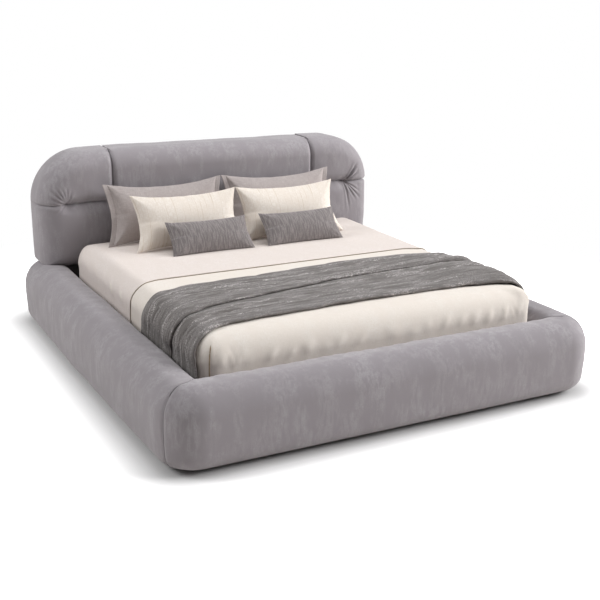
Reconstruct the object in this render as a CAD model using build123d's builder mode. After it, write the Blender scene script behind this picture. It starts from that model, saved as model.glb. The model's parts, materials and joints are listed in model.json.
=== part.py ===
from build123d import *
import os
from math import cos, radians

os.makedirs("parts", exist_ok=True)

# Mattress, in millimetres as everything here
mattress_width = 1930
mattress_length = 2030
mattress_height = 262
mattress_corner = 90
mattress_edge = 60
mattress_heel = 25

# Bed linen: its cloth, the air it keeps round what it wraps, and where it ends
linen = 2.5
linen_ease = 0.5
layer_gap = 0.3
sheet_hem = 150
drop_height = 300
turn_down_place = -30

# Well for the mattress: room on each side, at the foot and at the head
side_room = 22
foot_room = 10
head_room = 144
slat_top = 277

# Upholstered rails: section and corners
rail_width = 238
rail_top = 408
rail_lift = 12
rail_bulge = 10
rail_crown = 10
well_bulge = 4
lip_height = 288
corner_radius = 185
bottom_roll = 105
top_outer_roll = 118
top_inner_roll = 78
lip_roll = 18

# Upholstery: cover cloth with its backing, and the ease between layers
cover = 2.5
ease = 0.4

# Box beams of board inside the rails
board = 18
frame_inset = 70
frame_width = 120
frame_bottom = 40
frame_top = 300
frame_end = 122
web_spacing = 560
glue_line = 0.2
underside_opening = 125

# Fasteners and steel fittings
bolt_radius = 4
bolt_head_radius = 7.5
bolt_head_height = 5.5
bolt_clearance = 0.2
screw_radius = 2.5
screw_head_radius = 5
screw_head_height = 3
steel = 3
bracket_leg = 90
bracket_bottom = 60
bracket_height = 140
bracket_bolt_inset = 30
corner_bolt_length = 28

# Slats, their ledges and holders
slat_count = 13
slat_width = 70
slat_thickness = 19
slat_end_inset = 45
holder_base = 4
holder_wall = 4
holder_overlap = 3
ledge_width = 40
ledge_height = 40
ledge_screw_count = 8
ledge_screw_length = 52

# Centre beam with its shoes and legs
beam_width = 60
beam_height = 100
shoe_reach = 60
shoe_flange = 45
shoe_screw_length = 15
shoe_screw_shares = (0.25, 0.75)
leg_width = 40
leg_spacing = 600
leg_glide_radius = 28
leg_glide_height = 12

# Feet under the rails
foot_radius = 22
foot_inset = 157
foot_pitch = 700
foot_edge = 2

# Headboard: outline, rolls and seams
headboard_half_width = 1165
headboard_top = 1113
headboard_depth = 290
headboard_gap = 0.6
wing_foot_draw = 22
wing_shoulder_draw = 12
wing_shoulder_drop = 14
wing_belly = 740
wing_corner = 340
wing_foot_corner = 108
front_roll = 80
back_roll = 45
seam_roll = 24
seam_place = 700
centre_drop = 12
centre_setback = 8
wing_seam_height = 785
wing_seam_depth = 26
wing_seam_lip = 34
tuft_place = 980
tuft_radius = 58
tuft_depth = 34
lip_bend_share = 0.28

# Headboard structure: shallow box of board, two struts and the padded back
box_inset = 75
box_front_foam = 85
box_lift = 12
front_board = 12
back_board = 6
strut_width = 70
strut_depth = 45
strut_place = 560
strut_foot_gap = 4
strut_head_gap = 18
upright_places_share = (-0.992, -0.578, 0, 0.578, 0.992)
headboard_bolt_length = 58
headboard_bolt_heights = (110, 240)

# Throw blanket: where it lies, its cloth and its folds
throw_foot = -874
throw_head = -200
throw_valley = 4.5
throw_crest = 15
throw_fold_shares = (0.09, 0.15, 0.11, 0.19, 0.12, 0.16, 0.08, 0.10)
throw_crest_shares = (0.55, 0.85, 0.6, 1, 0.7, 0.9, 0.6, 0.5)

# Pillows: width, height, thickness, lean in degrees and the place of the lower edge
sham_width = 770
sham_height = 402
sham_thickness = 136
sham_lean = 15
sham_y = 812
sham_left_x = -400
sham_right_x = 400
cream_width = 660
cream_height = 372
cream_thickness = 150
cream_lean = 20
cream_y = 600
cream_left_x = -360
cream_right_x = 318
lumbar_width = 520
lumbar_height = 246
lumbar_thickness = 112
lumbar_lean = 37
lumbar_y = 418
lumbar_left_x = -280
lumbar_right_x = 325
pillow_sink = 14
pillow_cloth = 2
pillow_sag_share = 0.07
pillow_draw = 13
pillow_station_shares = (-1, -0.9, -0.62, 0, 0.62, 0.9, 1)
pillow_fullness_shares = (0.1, 0.52, 0.88, 1, 0.88, 0.52, 0.1)

# One overrun for every cut that has to pass through
overrun = 10

# Overall sizes and places that follow from the values above
bed_width = mattress_width + 2 * (side_room + rail_width)
bed_length = mattress_length + foot_room + head_room + 2 * rail_width
half_width = bed_width / 2
half_length = bed_length / 2
mattress_foot = rail_width + foot_room - half_length
mattress_head = mattress_foot + mattress_length
mattress_bottom = slat_top + layer_gap + linen + linen_ease
mattress_top = mattress_bottom + mattress_height
sheet_out = linen + linen_ease
top_sheet_in = sheet_out + layer_gap
top_sheet_out = top_sheet_in + linen
frame_inner = frame_inset + frame_width
headboard_front = mattress_head + top_sheet_out + headboard_gap
headboard_back = headboard_front + headboard_depth
headboard_bottom = rail_top + ease
strut_front = half_length - frame_inner + board + glue_line
strut_back = strut_front + strut_depth
box_front = headboard_front + box_front_foam
box_back = strut_back + glue_line + back_board
box_bottom = headboard_bottom + box_lift
slat_bottom = slat_top - slat_thickness
ledge_top = slat_bottom - holder_base
well_x = half_width - frame_inner
well_y = half_length - frame_inner
cross_beam_half = half_width - frame_end
long_beam_half = well_y - glue_line


def block(low, high, mode=Mode.ADD):
    """A rectangular block between its lowest and its highest corner."""
    size = Vector(*high) - Vector(*low)
    with Locations((Vector(*low) + Vector(*high)) / 2):
        Box(size.X, size.Y, size.Z, mode=mode)


def finish(builder, name):
    """Labels a finished piece and writes it."""
    builder.part.label = name
    export_step(builder.part, "parts/" + name + ".step")


def fastener(point, outward, radius, length, head_radius, head_height, sides):
    """A bolt or screw: head outside the point, shank going in against the outward direction."""
    seat = Plane(origin=point, z_dir=outward)
    with BuildSketch(seat) as head:
        if sides:
            RegularPolygon(head_radius, sides)
        else:
            Circle(head_radius)
    extrude(head.sketch, amount=head_height)
    with BuildSketch(seat) as shank:
        Circle(radius)
    extrude(shank.sketch, amount=-length)


def hole(point, outward, radius, length):
    """A clearance hole for a fastener, open on the head's side."""
    with BuildSketch(Plane(origin=point, z_dir=outward).offset(overrun)) as mouth:
        Circle(radius + bolt_clearance)
    extrude(mouth.sketch, amount=-length - overrun - bolt_clearance, mode=Mode.SUBTRACT)


# Rail upholstery


def rail_section(plane, inset, reach):
    """A rail's section: outer face at x = 0, floor at y = 0, drawn in by the inset, cut at the reach."""
    shoulder = rail_top - rail_crown
    heel = (rail_bulge, rail_lift)
    outer_shoulder = (rail_bulge, shoulder)
    inner_shoulder = (rail_width - well_bulge, shoulder)
    lip = (rail_width - well_bulge, lip_height)
    root = frame_inner + ease
    with BuildSketch(plane) as section:
        with BuildLine():
            ThreePointArc(heel, (0, (rail_lift + shoulder) / 2), outer_shoulder)
            ThreePointArc(outer_shoulder, (rail_width / 2, rail_top), inner_shoulder)
            ThreePointArc(inner_shoulder, (rail_width, (shoulder + lip_height) / 2), lip)
            Polyline(lip, (root, lip_height), (root, rail_lift), heel)
        make_face()
        if inset:
            offset(amount=-inset, kind=Kind.INTERSECTION)
        fillet(section.vertices().sort_by_distance(heel)[0], bottom_roll - inset)
        fillet(section.vertices().sort_by_distance(outer_shoulder)[0], top_outer_roll - inset)
        fillet(section.vertices().sort_by_distance(inner_shoulder)[0], top_inner_roll - inset)
        fillet(section.vertices().sort_by_distance(lip)[0], lip_roll - inset)
        Rectangle(reach, rail_top, align=(Align.MIN, Align.MIN), mode=Mode.INTERSECT)
    return section.sketch


def rail_form(half_run, half_depth, inset):
    """A rail at the foot side: the straight run and half of each round corner, up to the mitres."""
    corner_x = half_run - corner_radius
    corner_y = half_depth - corner_radius
    end = Plane(origin=(corner_x, -half_depth, 0), x_dir=(0, 1, 0), z_dir=(1, 0, 0))
    mitre = Plane(origin=(corner_x, -corner_y, 0), z_dir=(1, 1, 0))
    with BuildPart() as form:
        extrude(rail_section(end, inset, rail_width), amount=-corner_x)
        split(bisect_by=mitre, keep=Keep.BOTTOM)
        corner = rail_section(end, inset, corner_radius)
        revolve(corner, axis=Axis((corner_x, -corner_y, 0), (0, 0, 1)), revolution_arc=45)
        mirror(about=Plane.YZ)
    return form.part


def cut_frame_channel():
    """Room for the four box beams, and the openings under them where the cloth is stapled."""
    low = frame_bottom - ease
    high = frame_top + ease
    cross_end = cross_beam_half + ease
    long_end = long_beam_half + ease
    outer_y = half_length - frame_inset + ease
    outer_x = half_width - frame_inset + ease
    inner_y = well_y - ease
    inner_x = well_x - ease
    open_x = half_width - underside_opening
    open_y = half_length - underside_opening
    for side in (-1, 1):
        y_range = sorted((side * inner_y, side * outer_y))
        block((-cross_end, y_range[0], low), (cross_end, y_range[1], high), Mode.SUBTRACT)
        y_range = sorted((side * inner_y, side * open_y))
        block((-open_x, y_range[0], 0), (open_x, y_range[1], frame_bottom), Mode.SUBTRACT)
        x_range = sorted((side * inner_x, side * outer_x))
        block((x_range[0], -long_end, low), (x_range[1], long_end, high), Mode.SUBTRACT)
        x_range = sorted((side * inner_x, side * open_x))
        block((x_range[0], -open_y, 0), (x_range[1], open_y, frame_bottom), Mode.SUBTRACT)


def cut_strut_slots():
    """Slots where the headboard's two struts drop into the head rail."""
    for side in (-1, 1):
        middle = side * strut_place
        low = (middle - strut_width / 2 - ease, strut_front - ease, frame_bottom + board)
        high = (middle + strut_width / 2 + ease, strut_back + ease, rail_top + overrun)
        block(low, high, Mode.SUBTRACT)


long_rail = (half_length, half_width)
cross_rail = (half_width, half_length)
rail_turns = {
    "foot_rail": (cross_rail, 0),
    "right_rail": (long_rail, 90),
    "head_rail": (cross_rail, 180),
    "left_rail": (long_rail, -90),
}
rail_skins = {}
rail_fillings = {}
for run in (cross_rail, long_rail):
    with BuildPart() as skin:
        add(rail_form(*run, 0))
        add(rail_form(*run, cover), mode=Mode.SUBTRACT)
    rail_skins[run] = skin.part
    rail_fillings[run] = rail_form(*run, cover + ease)

for rail_name, (run, turn) in rail_turns.items():
    with BuildPart() as rail_cover:
        add(rail_skins[run], rotation=(0, 0, turn))
        cut_frame_channel()
        cut_strut_slots()
    finish(rail_cover, rail_name + "_cover")
    with BuildPart() as rail_pad:
        add(rail_fillings[run], rotation=(0, 0, turn))
        cut_frame_channel()
        cut_strut_slots()
    finish(rail_pad, rail_name + "_pad")


# Timber box beams


def corner_bolt_points(half_run, half_depth):
    """Bolts of the two corner brackets on a beam's well face, the beam lying at the foot side."""
    heights = (bracket_bottom + bracket_bolt_inset, bracket_bottom + bracket_height - bracket_bolt_inset)
    reach = half_run - bracket_leg + bracket_bolt_inset
    face = steel - half_depth
    return [(side * reach, face, height) for side in (-1, 1) for height in heights]


def beam_boards(half_run, half_depth):
    """A box beam at the foot side: outer, inner, top and bottom boards with webs between them."""
    outer = frame_inset - half_depth
    inner = outer + frame_width
    bottom_inside = frame_bottom + board + glue_line
    top_inside = frame_top - board - glue_line
    block((-half_run, outer, frame_bottom), (half_run, outer + board, frame_top))
    block((-half_run, inner - board, frame_bottom), (half_run, inner, frame_top))
    between = (outer + board + glue_line, inner - board - glue_line)
    block((-half_run, between[0], frame_bottom), (half_run, between[1], frame_bottom + board))
    block((-half_run, between[0], frame_top - board), (half_run, between[1], frame_top))
    webs_each_side = int((half_run - board) // web_spacing)
    for index in range(-webs_each_side, webs_each_side + 1):
        middle = index * web_spacing
        low = (middle - board / 2, between[0], bottom_inside)
        high = (middle + board / 2, between[1], top_inside)
        block(low, high)


beams = {
    "foot_rail_frame": (cross_beam_half, half_length, well_x, 0),
    "right_rail_frame": (long_beam_half, half_width, well_y, 90),
    "head_rail_frame": (cross_beam_half, half_length, well_x, 180),
    "left_rail_frame": (long_beam_half, half_width, well_y, -90),
}


def headboard_bolt_points():
    """Bolts from the well through the head beam's inner board into the two struts."""
    face = half_length - frame_inner
    return [(side * strut_place, face, height) for side in (-1, 1) for height in headboard_bolt_heights]


def ledge_screw_points(side):
    """Screws through a slat ledge into the side beam."""
    pitch = 2 * (well_y - bracket_leg) / (ledge_screw_count - 1)
    height = ledge_top - ledge_height / 2
    face = side * (well_x - ledge_width)
    return [(face, bracket_leg - well_y + index * pitch, height) for index in range(ledge_screw_count)]


def shoe_screw_points(end):
    """Screws through the flanges of a centre beam shoe into the foot or head beam."""
    across = beam_width / 2 + steel + shoe_flange / 2
    heights = [ledge_top - beam_height * share for share in shoe_screw_shares]
    face = end * (well_y - steel)
    return [(side * across, face, height) for side in (-1, 1) for height in heights]


for beam_name, (half_run, half_depth, well_half, turn) in beams.items():
    with BuildPart() as boards:
        beam_boards(half_run, half_depth)
        for point in corner_bolt_points(well_half, half_depth - frame_inner):
            hole(point, (0, 1, 0), bolt_radius, corner_bolt_length)
    with BuildPart() as rail_frame:
        add(boards.part, rotation=(0, 0, turn))
        if beam_name == "head_rail_frame":
            cut_strut_slots()
            for point in headboard_bolt_points():
                hole(point, (0, -1, 0), bolt_radius, headboard_bolt_length)
        if beam_name in ("head_rail_frame", "foot_rail_frame"):
            end = 1 if beam_name == "head_rail_frame" else -1
            for point in shoe_screw_points(end):
                hole(point, (0, -end, 0), screw_radius, shoe_screw_length)
        else:
            side = 1 if beam_name == "right_rail_frame" else -1
            for point in ledge_screw_points(side):
                hole(point, (-side, 0, 0), screw_radius, ledge_screw_length)
    finish(rail_frame, beam_name)


# Corner brackets and their bolts


with BuildPart() as corner_brackets:
    for side in (-1, 1):
        for end in (-1, 1):
            x_range = sorted((side * well_x, side * (well_x - bracket_leg)))
            y_range = sorted((end * well_y, end * (well_y - bracket_leg)))
            x_plate = sorted((side * well_x, side * (well_x - steel)))
            y_plate = sorted((end * well_y, end * (well_y - steel)))
            top = bracket_bottom + bracket_height
            block((x_range[0], y_plate[0], bracket_bottom), (x_range[1], y_plate[1], top))
            block((x_plate[0], y_range[0], bracket_bottom), (x_plate[1], y_range[1], top))
    for turn, half_run, half_depth in ((0, well_x, well_y), (90, well_y, well_x)):
        for half_turn in (0, 180):
            for point in corner_bolt_points(half_run, half_depth):
                spun = Vector(*point).rotate(Axis.Z, turn + half_turn)
                outward = Vector(0, 1, 0).rotate(Axis.Z, turn + half_turn)
                hole(spun, outward, bolt_radius, corner_bolt_length)
finish(corner_brackets, "corner_brackets")

with BuildPart() as corner_bolts:
    for turn, half_run, half_depth in ((0, well_x, well_y), (90, well_y, well_x)):
        for half_turn in (0, 180):
            for point in corner_bolt_points(half_run, half_depth):
                spun = Vector(*point).rotate(Axis.Z, turn + half_turn)
                outward = Vector(0, 1, 0).rotate(Axis.Z, turn + half_turn)
                fastener(
                    spun,
                    outward,
                    bolt_radius,
                    corner_bolt_length,
                    bolt_head_radius,
                    bolt_head_height,
                    6,
                )
finish(corner_bolts, "corner_bolts")


# Slat ledges with their screws


for side, ledge_name in ((-1, "slat_ledge_left"), (1, "slat_ledge_right")):
    with BuildPart() as slat_ledge:
        x_range = sorted((side * (well_x - glue_line), side * (well_x - ledge_width)))
        low = (x_range[0], glue_line - well_y, ledge_top - ledge_height)
        high = (x_range[1], well_y - glue_line, ledge_top)
        block(low, high)
        for point in ledge_screw_points(side):
            hole(point, (-side, 0, 0), screw_radius, ledge_screw_length)
    finish(slat_ledge, ledge_name)

with BuildPart() as ledge_screws:
    for side in (-1, 1):
        for point in ledge_screw_points(side):
            fastener(
                point,
                (-side, 0, 0),
                screw_radius,
                ledge_screw_length,
                screw_head_radius,
                screw_head_height,
                0,
            )
finish(ledge_screws, "ledge_screws")


# Centre beam, its shoes and its legs


beam_end = well_y - steel - glue_line
with BuildPart() as centre_beam:
    low = (-beam_width / 2, -beam_end, ledge_top - beam_height)
    high = (beam_width / 2, beam_end, ledge_top)
    block(low, high)
finish(centre_beam, "centre_beam")

with BuildPart() as beam_shoes:
    for end in (-1, 1):
        cheek = beam_width / 2 + glue_line
        shoe_bottom = ledge_top - beam_height - glue_line - steel
        wide = cheek + steel + shoe_flange
        plate = sorted((end * well_y, end * (well_y - steel)))
        reach = sorted((end * well_y, end * (well_y - shoe_reach)))
        block((-wide, plate[0], shoe_bottom), (wide, plate[1], ledge_top))
        block((-cheek - steel, reach[0], shoe_bottom), (cheek + steel, reach[1], shoe_bottom + steel))
        for side in (-1, 1):
            x_range = sorted((side * cheek, side * (cheek + steel)))
            block((x_range[0], reach[0], shoe_bottom), (x_range[1], reach[1], ledge_top))
        for point in shoe_screw_points(end):
            hole(point, (0, -end, 0), screw_radius, shoe_screw_length)
finish(beam_shoes, "centre_beam_shoes")

with BuildPart() as shoe_screws:
    for end in (-1, 1):
        for point in shoe_screw_points(end):
            fastener(
                point,
                (0, -end, 0),
                screw_radius,
                shoe_screw_length,
                screw_head_radius,
                screw_head_height,
                0,
            )
finish(shoe_screws, "shoe_screws")

leg_places = [(0, index * leg_spacing) for index in (-1, 0, 1)]
leg_top = ledge_top - beam_height - glue_line
with BuildPart() as centre_legs:
    for x, y in leg_places:
        half = leg_width / 2
        block((x - half, y - half, leg_glide_height), (x + half, y + half, leg_top))
finish(centre_legs, "centre_legs")

with BuildPart() as centre_leg_glides:
    with BuildSketch():
        with Locations(leg_places):
            Circle(leg_glide_radius)
    extrude(amount=leg_glide_height)
finish(centre_leg_glides, "centre_leg_glides")


# Feet under the rails


far_foot = (half_width - foot_inset, half_length - foot_inset)
near_foot = foot_pitch / 2
foot_places = [(x * far_foot[0], y * far_foot[1]) for x in (-1, 1) for y in (-1, 1)]
foot_places += [(x * far_foot[0], y * near_foot) for x in (-1, 1) for y in (-1, 1)]
foot_places += [(x * near_foot, y * far_foot[1]) for x in (-1, 1) for y in (-1, 1)]
with BuildPart() as rail_feet:
    with BuildSketch():
        with Locations(foot_places):
            Circle(foot_radius)
    extrude(amount=frame_bottom)
    fillet(rail_feet.faces().filter_by(Axis.Z).group_by(Axis.Z)[0].edges(), foot_edge)
finish(rail_feet, "rail_feet")


# Slats and the holders at their ends


slat_pitch = (mattress_length - 2 * slat_end_inset - slat_width) / (slat_count - 1)
slat_places = [
    mattress_foot + slat_end_inset + slat_width / 2 + index * slat_pitch for index in range(slat_count)
]
slat_outer = well_x - holder_wall - 2 * glue_line
slat_inner = holder_wall + glue_line
for side, slat_name in ((-1, "slats_left"), (1, "slats_right")):
    with BuildPart() as slats:
        for y in slat_places:
            x_range = sorted((side * slat_inner, side * slat_outer))
            low = (x_range[0], y - slat_width / 2, slat_bottom)
            high = (x_range[1], y + slat_width / 2, slat_top)
            block(low, high)
    finish(slats, slat_name)

holder_half = slat_width / 2 + holder_overlap
for side, holder_name in ((-1, "slat_holders_left"), (1, "slat_holders_right")):
    with BuildPart() as end_holders:
        for y in slat_places:
            outer = well_x - glue_line
            base = sorted((side * outer, side * (well_x - ledge_width)))
            wall = sorted((side * outer, side * (outer - holder_wall)))
            block((base[0], y - holder_half, ledge_top), (base[1], y + holder_half, slat_bottom))
            block((wall[0], y - holder_half, ledge_top), (wall[1], y + holder_half, slat_top))
    finish(end_holders, holder_name)

with BuildPart() as centre_holders:
    for y in slat_places:
        half = beam_width / 2
        block((-half, y - holder_half, ledge_top), (half, y + holder_half, slat_bottom))
        block((-holder_wall, y - holder_half, ledge_top), (holder_wall, y + holder_half, slat_top))
finish(centre_holders, "centre_slat_holders")


# Headboard


def headboard_outline(plane, inset, top, bottom):
    """The headboard seen from the front: sides drawn in at the foot, round top corners."""
    foot = headboard_half_width - wing_foot_draw
    shoulder = (headboard_half_width - wing_shoulder_draw, top - wing_shoulder_drop)
    with BuildSketch(plane) as outline:
        with BuildLine():
            right = ThreePointArc((foot, bottom), (headboard_half_width, wing_belly), shoulder)
            over = ThreePointArc(shoulder, (0, top), (-shoulder[0], shoulder[1]))
            ThreePointArc(over @ 1, (-headboard_half_width, wing_belly), (-foot, bottom))
            Line((-foot, bottom), right @ 0)
        make_face()
        if inset:
            offset(amount=-inset, kind=Kind.INTERSECTION)
        fillet(outline.vertices().group_by(Axis.Y)[-1], wing_corner - inset)
        fillet(outline.vertices().group_by(Axis.Y)[0], wing_foot_corner - inset)
    return outline.sketch


def headboard_form(inset, front, top):
    """The whole headboard as one rolled block, drawn in by the inset."""
    front_plane = Plane(origin=(0, front + inset, 0), x_dir=(1, 0, 0), z_dir=(0, -1, 0))
    depth = headboard_back - front - 2 * inset
    with BuildPart() as form:
        extrude(headboard_outline(front_plane, inset, top, headboard_bottom), amount=-depth)
        fillet(form.faces().sort_by(Axis.Y)[0].edges(), front_roll - inset)
        fillet(form.faces().sort_by(Axis.Y)[-1].edges(), back_roll - inset)
    return form.part


def wing_seam_section(plane, grow):
    """Section of the channel sewn across a wing: two round lips that meet at the seam."""
    depth = wing_seam_depth + grow
    lip = wing_seam_lip + grow
    bend = (depth * lip_bend_share, lip * lip_bend_share)
    with BuildSketch(plane) as section:
        with BuildLine():
            ThreePointArc((0, lip), bend, (depth, 0))
            ThreePointArc((depth, 0), (bend[0], -bend[1]), (0, -lip))
            Polyline((0, -lip), (-front_roll, -lip), (-front_roll, lip), (0, lip))
        make_face()
    return section.sketch


def wing_form(inset):
    """The right wing, drawn in by the inset, with its sewn channel and its tuft."""
    inner = seam_place + layer_gap / 2 + inset
    seam_start = (inner - overrun, headboard_front, wing_seam_height)
    seam_plane = Plane(origin=seam_start, x_dir=(0, 1, 0), z_dir=(1, 0, 0))
    tuft_ball = (tuft_radius**2 + tuft_depth**2) / (2 * tuft_depth)
    tuft_centre = (tuft_place, headboard_front + tuft_depth - tuft_ball, wing_seam_height)
    with BuildPart() as form:
        add(headboard_form(inset, headboard_front, headboard_top))
        split(bisect_by=Plane.YZ.offset(inner), keep=Keep.TOP)
        fillet(form.faces().sort_by(Axis.X)[0].edges(), seam_roll - inset)
        extrude(wing_seam_section(seam_plane, inset), amount=headboard_half_width, mode=Mode.SUBTRACT)
        with Locations(tuft_centre):
            Sphere(tuft_ball + inset, mode=Mode.SUBTRACT)
    return form.part


def centre_form(inset):
    """The panel between the wings, a little lower and set back, drawn in by the inset."""
    outer = seam_place - layer_gap / 2 - inset
    with BuildPart() as form:
        add(headboard_form(inset, headboard_front + centre_setback, headboard_top - centre_drop))
        split(bisect_by=Plane.YZ.offset(outer), keep=Keep.BOTTOM)
        split(bisect_by=Plane.YZ.offset(-outer), keep=Keep.TOP)
        fillet(form.faces().sort_by(Axis.X)[0].edges(), seam_roll - inset)
        fillet(form.faces().sort_by(Axis.X)[-1].edges(), seam_roll - inset)
    return form.part


def box_outline(plane, grow):
    """Outline of the board box inside the headboard."""
    return headboard_outline(plane, box_inset - grow, headboard_top, headboard_bottom - 2 * box_inset)


def cut_box_pocket():
    """Room for the board box and the padded back, open behind and below."""
    pocket_plane = Plane(origin=(0, box_front - ease, 0), x_dir=(1, 0, 0), z_dir=(0, -1, 0))
    extrude(box_outline(pocket_plane, ease), amount=-headboard_depth, mode=Mode.SUBTRACT)


for part_name, form_of in (("wing", wing_form), ("centre", centre_form)):
    with BuildPart() as shell:
        add(form_of(0))
        add(form_of(cover), mode=Mode.SUBTRACT)
        cut_box_pocket()
    with BuildPart() as filling:
        add(form_of(cover + ease))
        cut_box_pocket()
    if part_name == "centre":
        finish(shell, "headboard_centre_cover")
        finish(filling, "headboard_centre_pad")
        continue
    finish(shell, "headboard_right_wing_cover")
    finish(filling, "headboard_right_wing_pad")
    with BuildPart() as left_shell:
        mirror(shell.part, about=Plane.YZ)
    finish(left_shell, "headboard_left_wing_cover")
    with BuildPart() as left_filling:
        mirror(filling.part, about=Plane.YZ)
    finish(left_filling, "headboard_left_wing_pad")


def box_sheet(front, back, name):
    """A flat sheet with the box's outline, cut level at its foot."""
    plane = Plane(origin=(0, front, 0), x_dir=(1, 0, 0), z_dir=(0, -1, 0))
    with BuildPart() as sheet:
        extrude(box_outline(plane, 0), amount=front - back)
        low = (-headboard_half_width, front - overrun, 0)
        block(low, (headboard_half_width, back + overrun, box_bottom), Mode.SUBTRACT)
    finish(sheet, name)


back_cover_front = headboard_back - cover
box_sheet(box_front, box_front + front_board, "headboard_front_board")
box_sheet(box_back - back_board, box_back, "headboard_back_board")
box_sheet(box_back + glue_line, back_cover_front - ease, "headboard_back_pad")
box_sheet(back_cover_front, headboard_back, "headboard_back_cover")

rib_front = box_front + front_board + glue_line
rib_back = box_back - back_board - glue_line
box_half_width = headboard_half_width - box_inset
box_top = headboard_top - box_inset - wing_shoulder_drop
box_corner = wing_corner - box_inset
upright_places = [share * box_half_width for share in upright_places_share]
upright_limit = box_half_width - wing_foot_draw - board / 2 - glue_line
upright_places[0] = max(upright_places[0], -upright_limit)
upright_places[-1] = min(upright_places[-1], upright_limit)

with BuildPart() as uprights:
    for index, x in enumerate(upright_places):
        top = box_top if 0 < index < len(upright_places) - 1 else box_top - box_corner
        block((x - board / 2, rib_front, box_bottom), (x + board / 2, rib_back, top))
finish(uprights, "headboard_uprights")

with BuildPart() as crossbars:
    for left, right in zip(upright_places[:-1], upright_places[1:]):
        x_range = (left + board / 2 + glue_line, right - board / 2 - glue_line)
        block((x_range[0], rib_front, box_bottom), (x_range[1], rib_back, box_bottom + board))
        corner_limit = box_half_width - box_corner
        upper = (max(x_range[0], -corner_limit), min(x_range[1], corner_limit))
        block((upper[0], rib_front, box_top - board), (upper[1], rib_back, box_top))
    for side in (-1, 1):
        low = (side * strut_place - strut_width / 2 - ease, strut_front - ease, box_bottom - overrun)
        high = (side * strut_place + strut_width / 2 + ease, rib_back + overrun, box_bottom + board + overrun)
        block(low, high, Mode.SUBTRACT)
finish(crossbars, "headboard_crossbars")

strut_bottom = frame_bottom + board + strut_foot_gap
with BuildPart() as struts:
    for side in (-1, 1):
        low = (side * strut_place - strut_width / 2, strut_front, strut_bottom)
        high = (side * strut_place + strut_width / 2, strut_back, box_top - board - strut_head_gap)
        block(low, high)
    for point in headboard_bolt_points():
        hole(point, (0, -1, 0), bolt_radius, headboard_bolt_length)
finish(struts, "headboard_struts")

with BuildPart() as headboard_bolts:
    for point in headboard_bolt_points():
        fastener(
            point,
            (0, -1, 0),
            bolt_radius,
            headboard_bolt_length,
            bolt_head_radius,
            bolt_head_height,
            6,
        )
finish(headboard_bolts, "headboard_bolts")


# Mattress and sheets


def mattress_form(grow):
    """The mattress block with round corners and edges, grown on every side."""
    with BuildPart() as form:
        low = (-mattress_width / 2 - grow, mattress_foot - grow, mattress_bottom - grow)
        high = (mattress_width / 2 + grow, mattress_head + grow, mattress_top + grow)
        block(low, high)
        fillet(form.edges().filter_by(Axis.Z), mattress_corner + grow)
        fillet(form.faces().sort_by(Axis.Z)[-1].edges(), mattress_edge + grow)
        fillet(form.faces().sort_by(Axis.Z)[0].edges(), mattress_heel + grow)
    return form.part


with BuildPart() as mattress_core:
    add(mattress_form(0))
finish(mattress_core, "mattress_core")

with BuildPart() as fitted_sheet:
    add(mattress_form(sheet_out))
    add(mattress_form(linen_ease), mode=Mode.SUBTRACT)
    low = (sheet_hem - mattress_width / 2, mattress_foot + sheet_hem, slat_top - overrun)
    high = (mattress_width / 2 - sheet_hem, mattress_head - sheet_hem, mattress_bottom + overrun)
    block(low, high, Mode.SUBTRACT)
finish(fitted_sheet, "fitted_sheet")

with BuildPart() as top_sheet:
    add(mattress_form(top_sheet_out))
    add(mattress_form(top_sheet_in), mode=Mode.SUBTRACT)
    low = (-half_width, turn_down_place, drop_height)
    high = (half_width, half_length, rail_top + mattress_top)
    block(low, high, Mode.INTERSECT)
finish(top_sheet, "top_sheet")


# Throw blanket


def throw_section(plane):
    """Section of the throw from its foot edge to its head edge: flat below, folds above."""
    width = throw_head - throw_foot
    with BuildSketch(plane) as section:
        with BuildLine():
            place = 0
            for fold, crest in zip(throw_fold_shares, throw_crest_shares):
                start = (place, throw_valley)
                place += fold * width / sum(throw_fold_shares)
                middle = ((start[0] + place) / 2, throw_valley + crest * (throw_crest - throw_valley))
                ThreePointArc(start, middle, (place, throw_valley))
            Polyline((place, throw_valley), (place, 0), (0, 0), (0, throw_valley))
        make_face()
    return section.sketch


with BuildPart() as throw_blanket:
    level = mattress_top + top_sheet_in
    edge_radius = mattress_edge + top_sheet_in
    edge_x = mattress_width / 2 - mattress_edge
    side_x = mattress_width / 2 + top_sheet_in
    edge_z = mattress_top - mattress_edge
    top_end = Plane(origin=(edge_x, throw_foot, level), x_dir=(0, 1, 0), z_dir=(1, 0, 0))
    side_end = Plane(origin=(side_x, throw_foot, edge_z), x_dir=(0, 1, 0), z_dir=(0, 0, -1))
    extrude(throw_section(top_end), amount=-edge_x)
    revolve(throw_section(top_end), axis=Axis((edge_x, 0, edge_z), (0, 1, 0)), revolution_arc=90)
    extrude(throw_section(side_end), amount=edge_z - drop_height)
    mirror(about=Plane.YZ)
finish(throw_blanket, "throw_blanket")


# Pillows


def pillow_form(width, height, thickness, inset):
    """A pillow on its long edge: lens sections that thin out sideways, corners left standing."""
    with BuildPart() as form:
        for station, fullness in zip(pillow_station_shares, pillow_fullness_shares):
            half_thickness = thickness * fullness / 2 - inset * fullness
            sag = height * pillow_sag_share * (1 - station * station)
            top = height - sag - inset
            plane = Plane.YZ.offset(station * (width / 2 - inset))
            with BuildSketch(plane):
                with BuildLine():
                    ThreePointArc((0, inset), (-half_thickness, (top + inset) / 2), (0, top))
                    ThreePointArc((0, top), (half_thickness, (top + inset) / 2), (0, inset))
                make_face()
        loft()
        bow_radius = (height / 2) ** 2 / (2 * pillow_draw) + pillow_draw / 2
        for side in (-1, 1):
            centre = side * (width / 2 - pillow_draw + bow_radius)
            side_plane = Plane(origin=(centre, -thickness, height / 2), x_dir=(1, 0, 0), z_dir=(0, 1, 0))
            with BuildSketch(side_plane):
                Circle(bow_radius + inset)
            extrude(amount=2 * thickness, mode=Mode.SUBTRACT)
    return form.part


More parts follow.
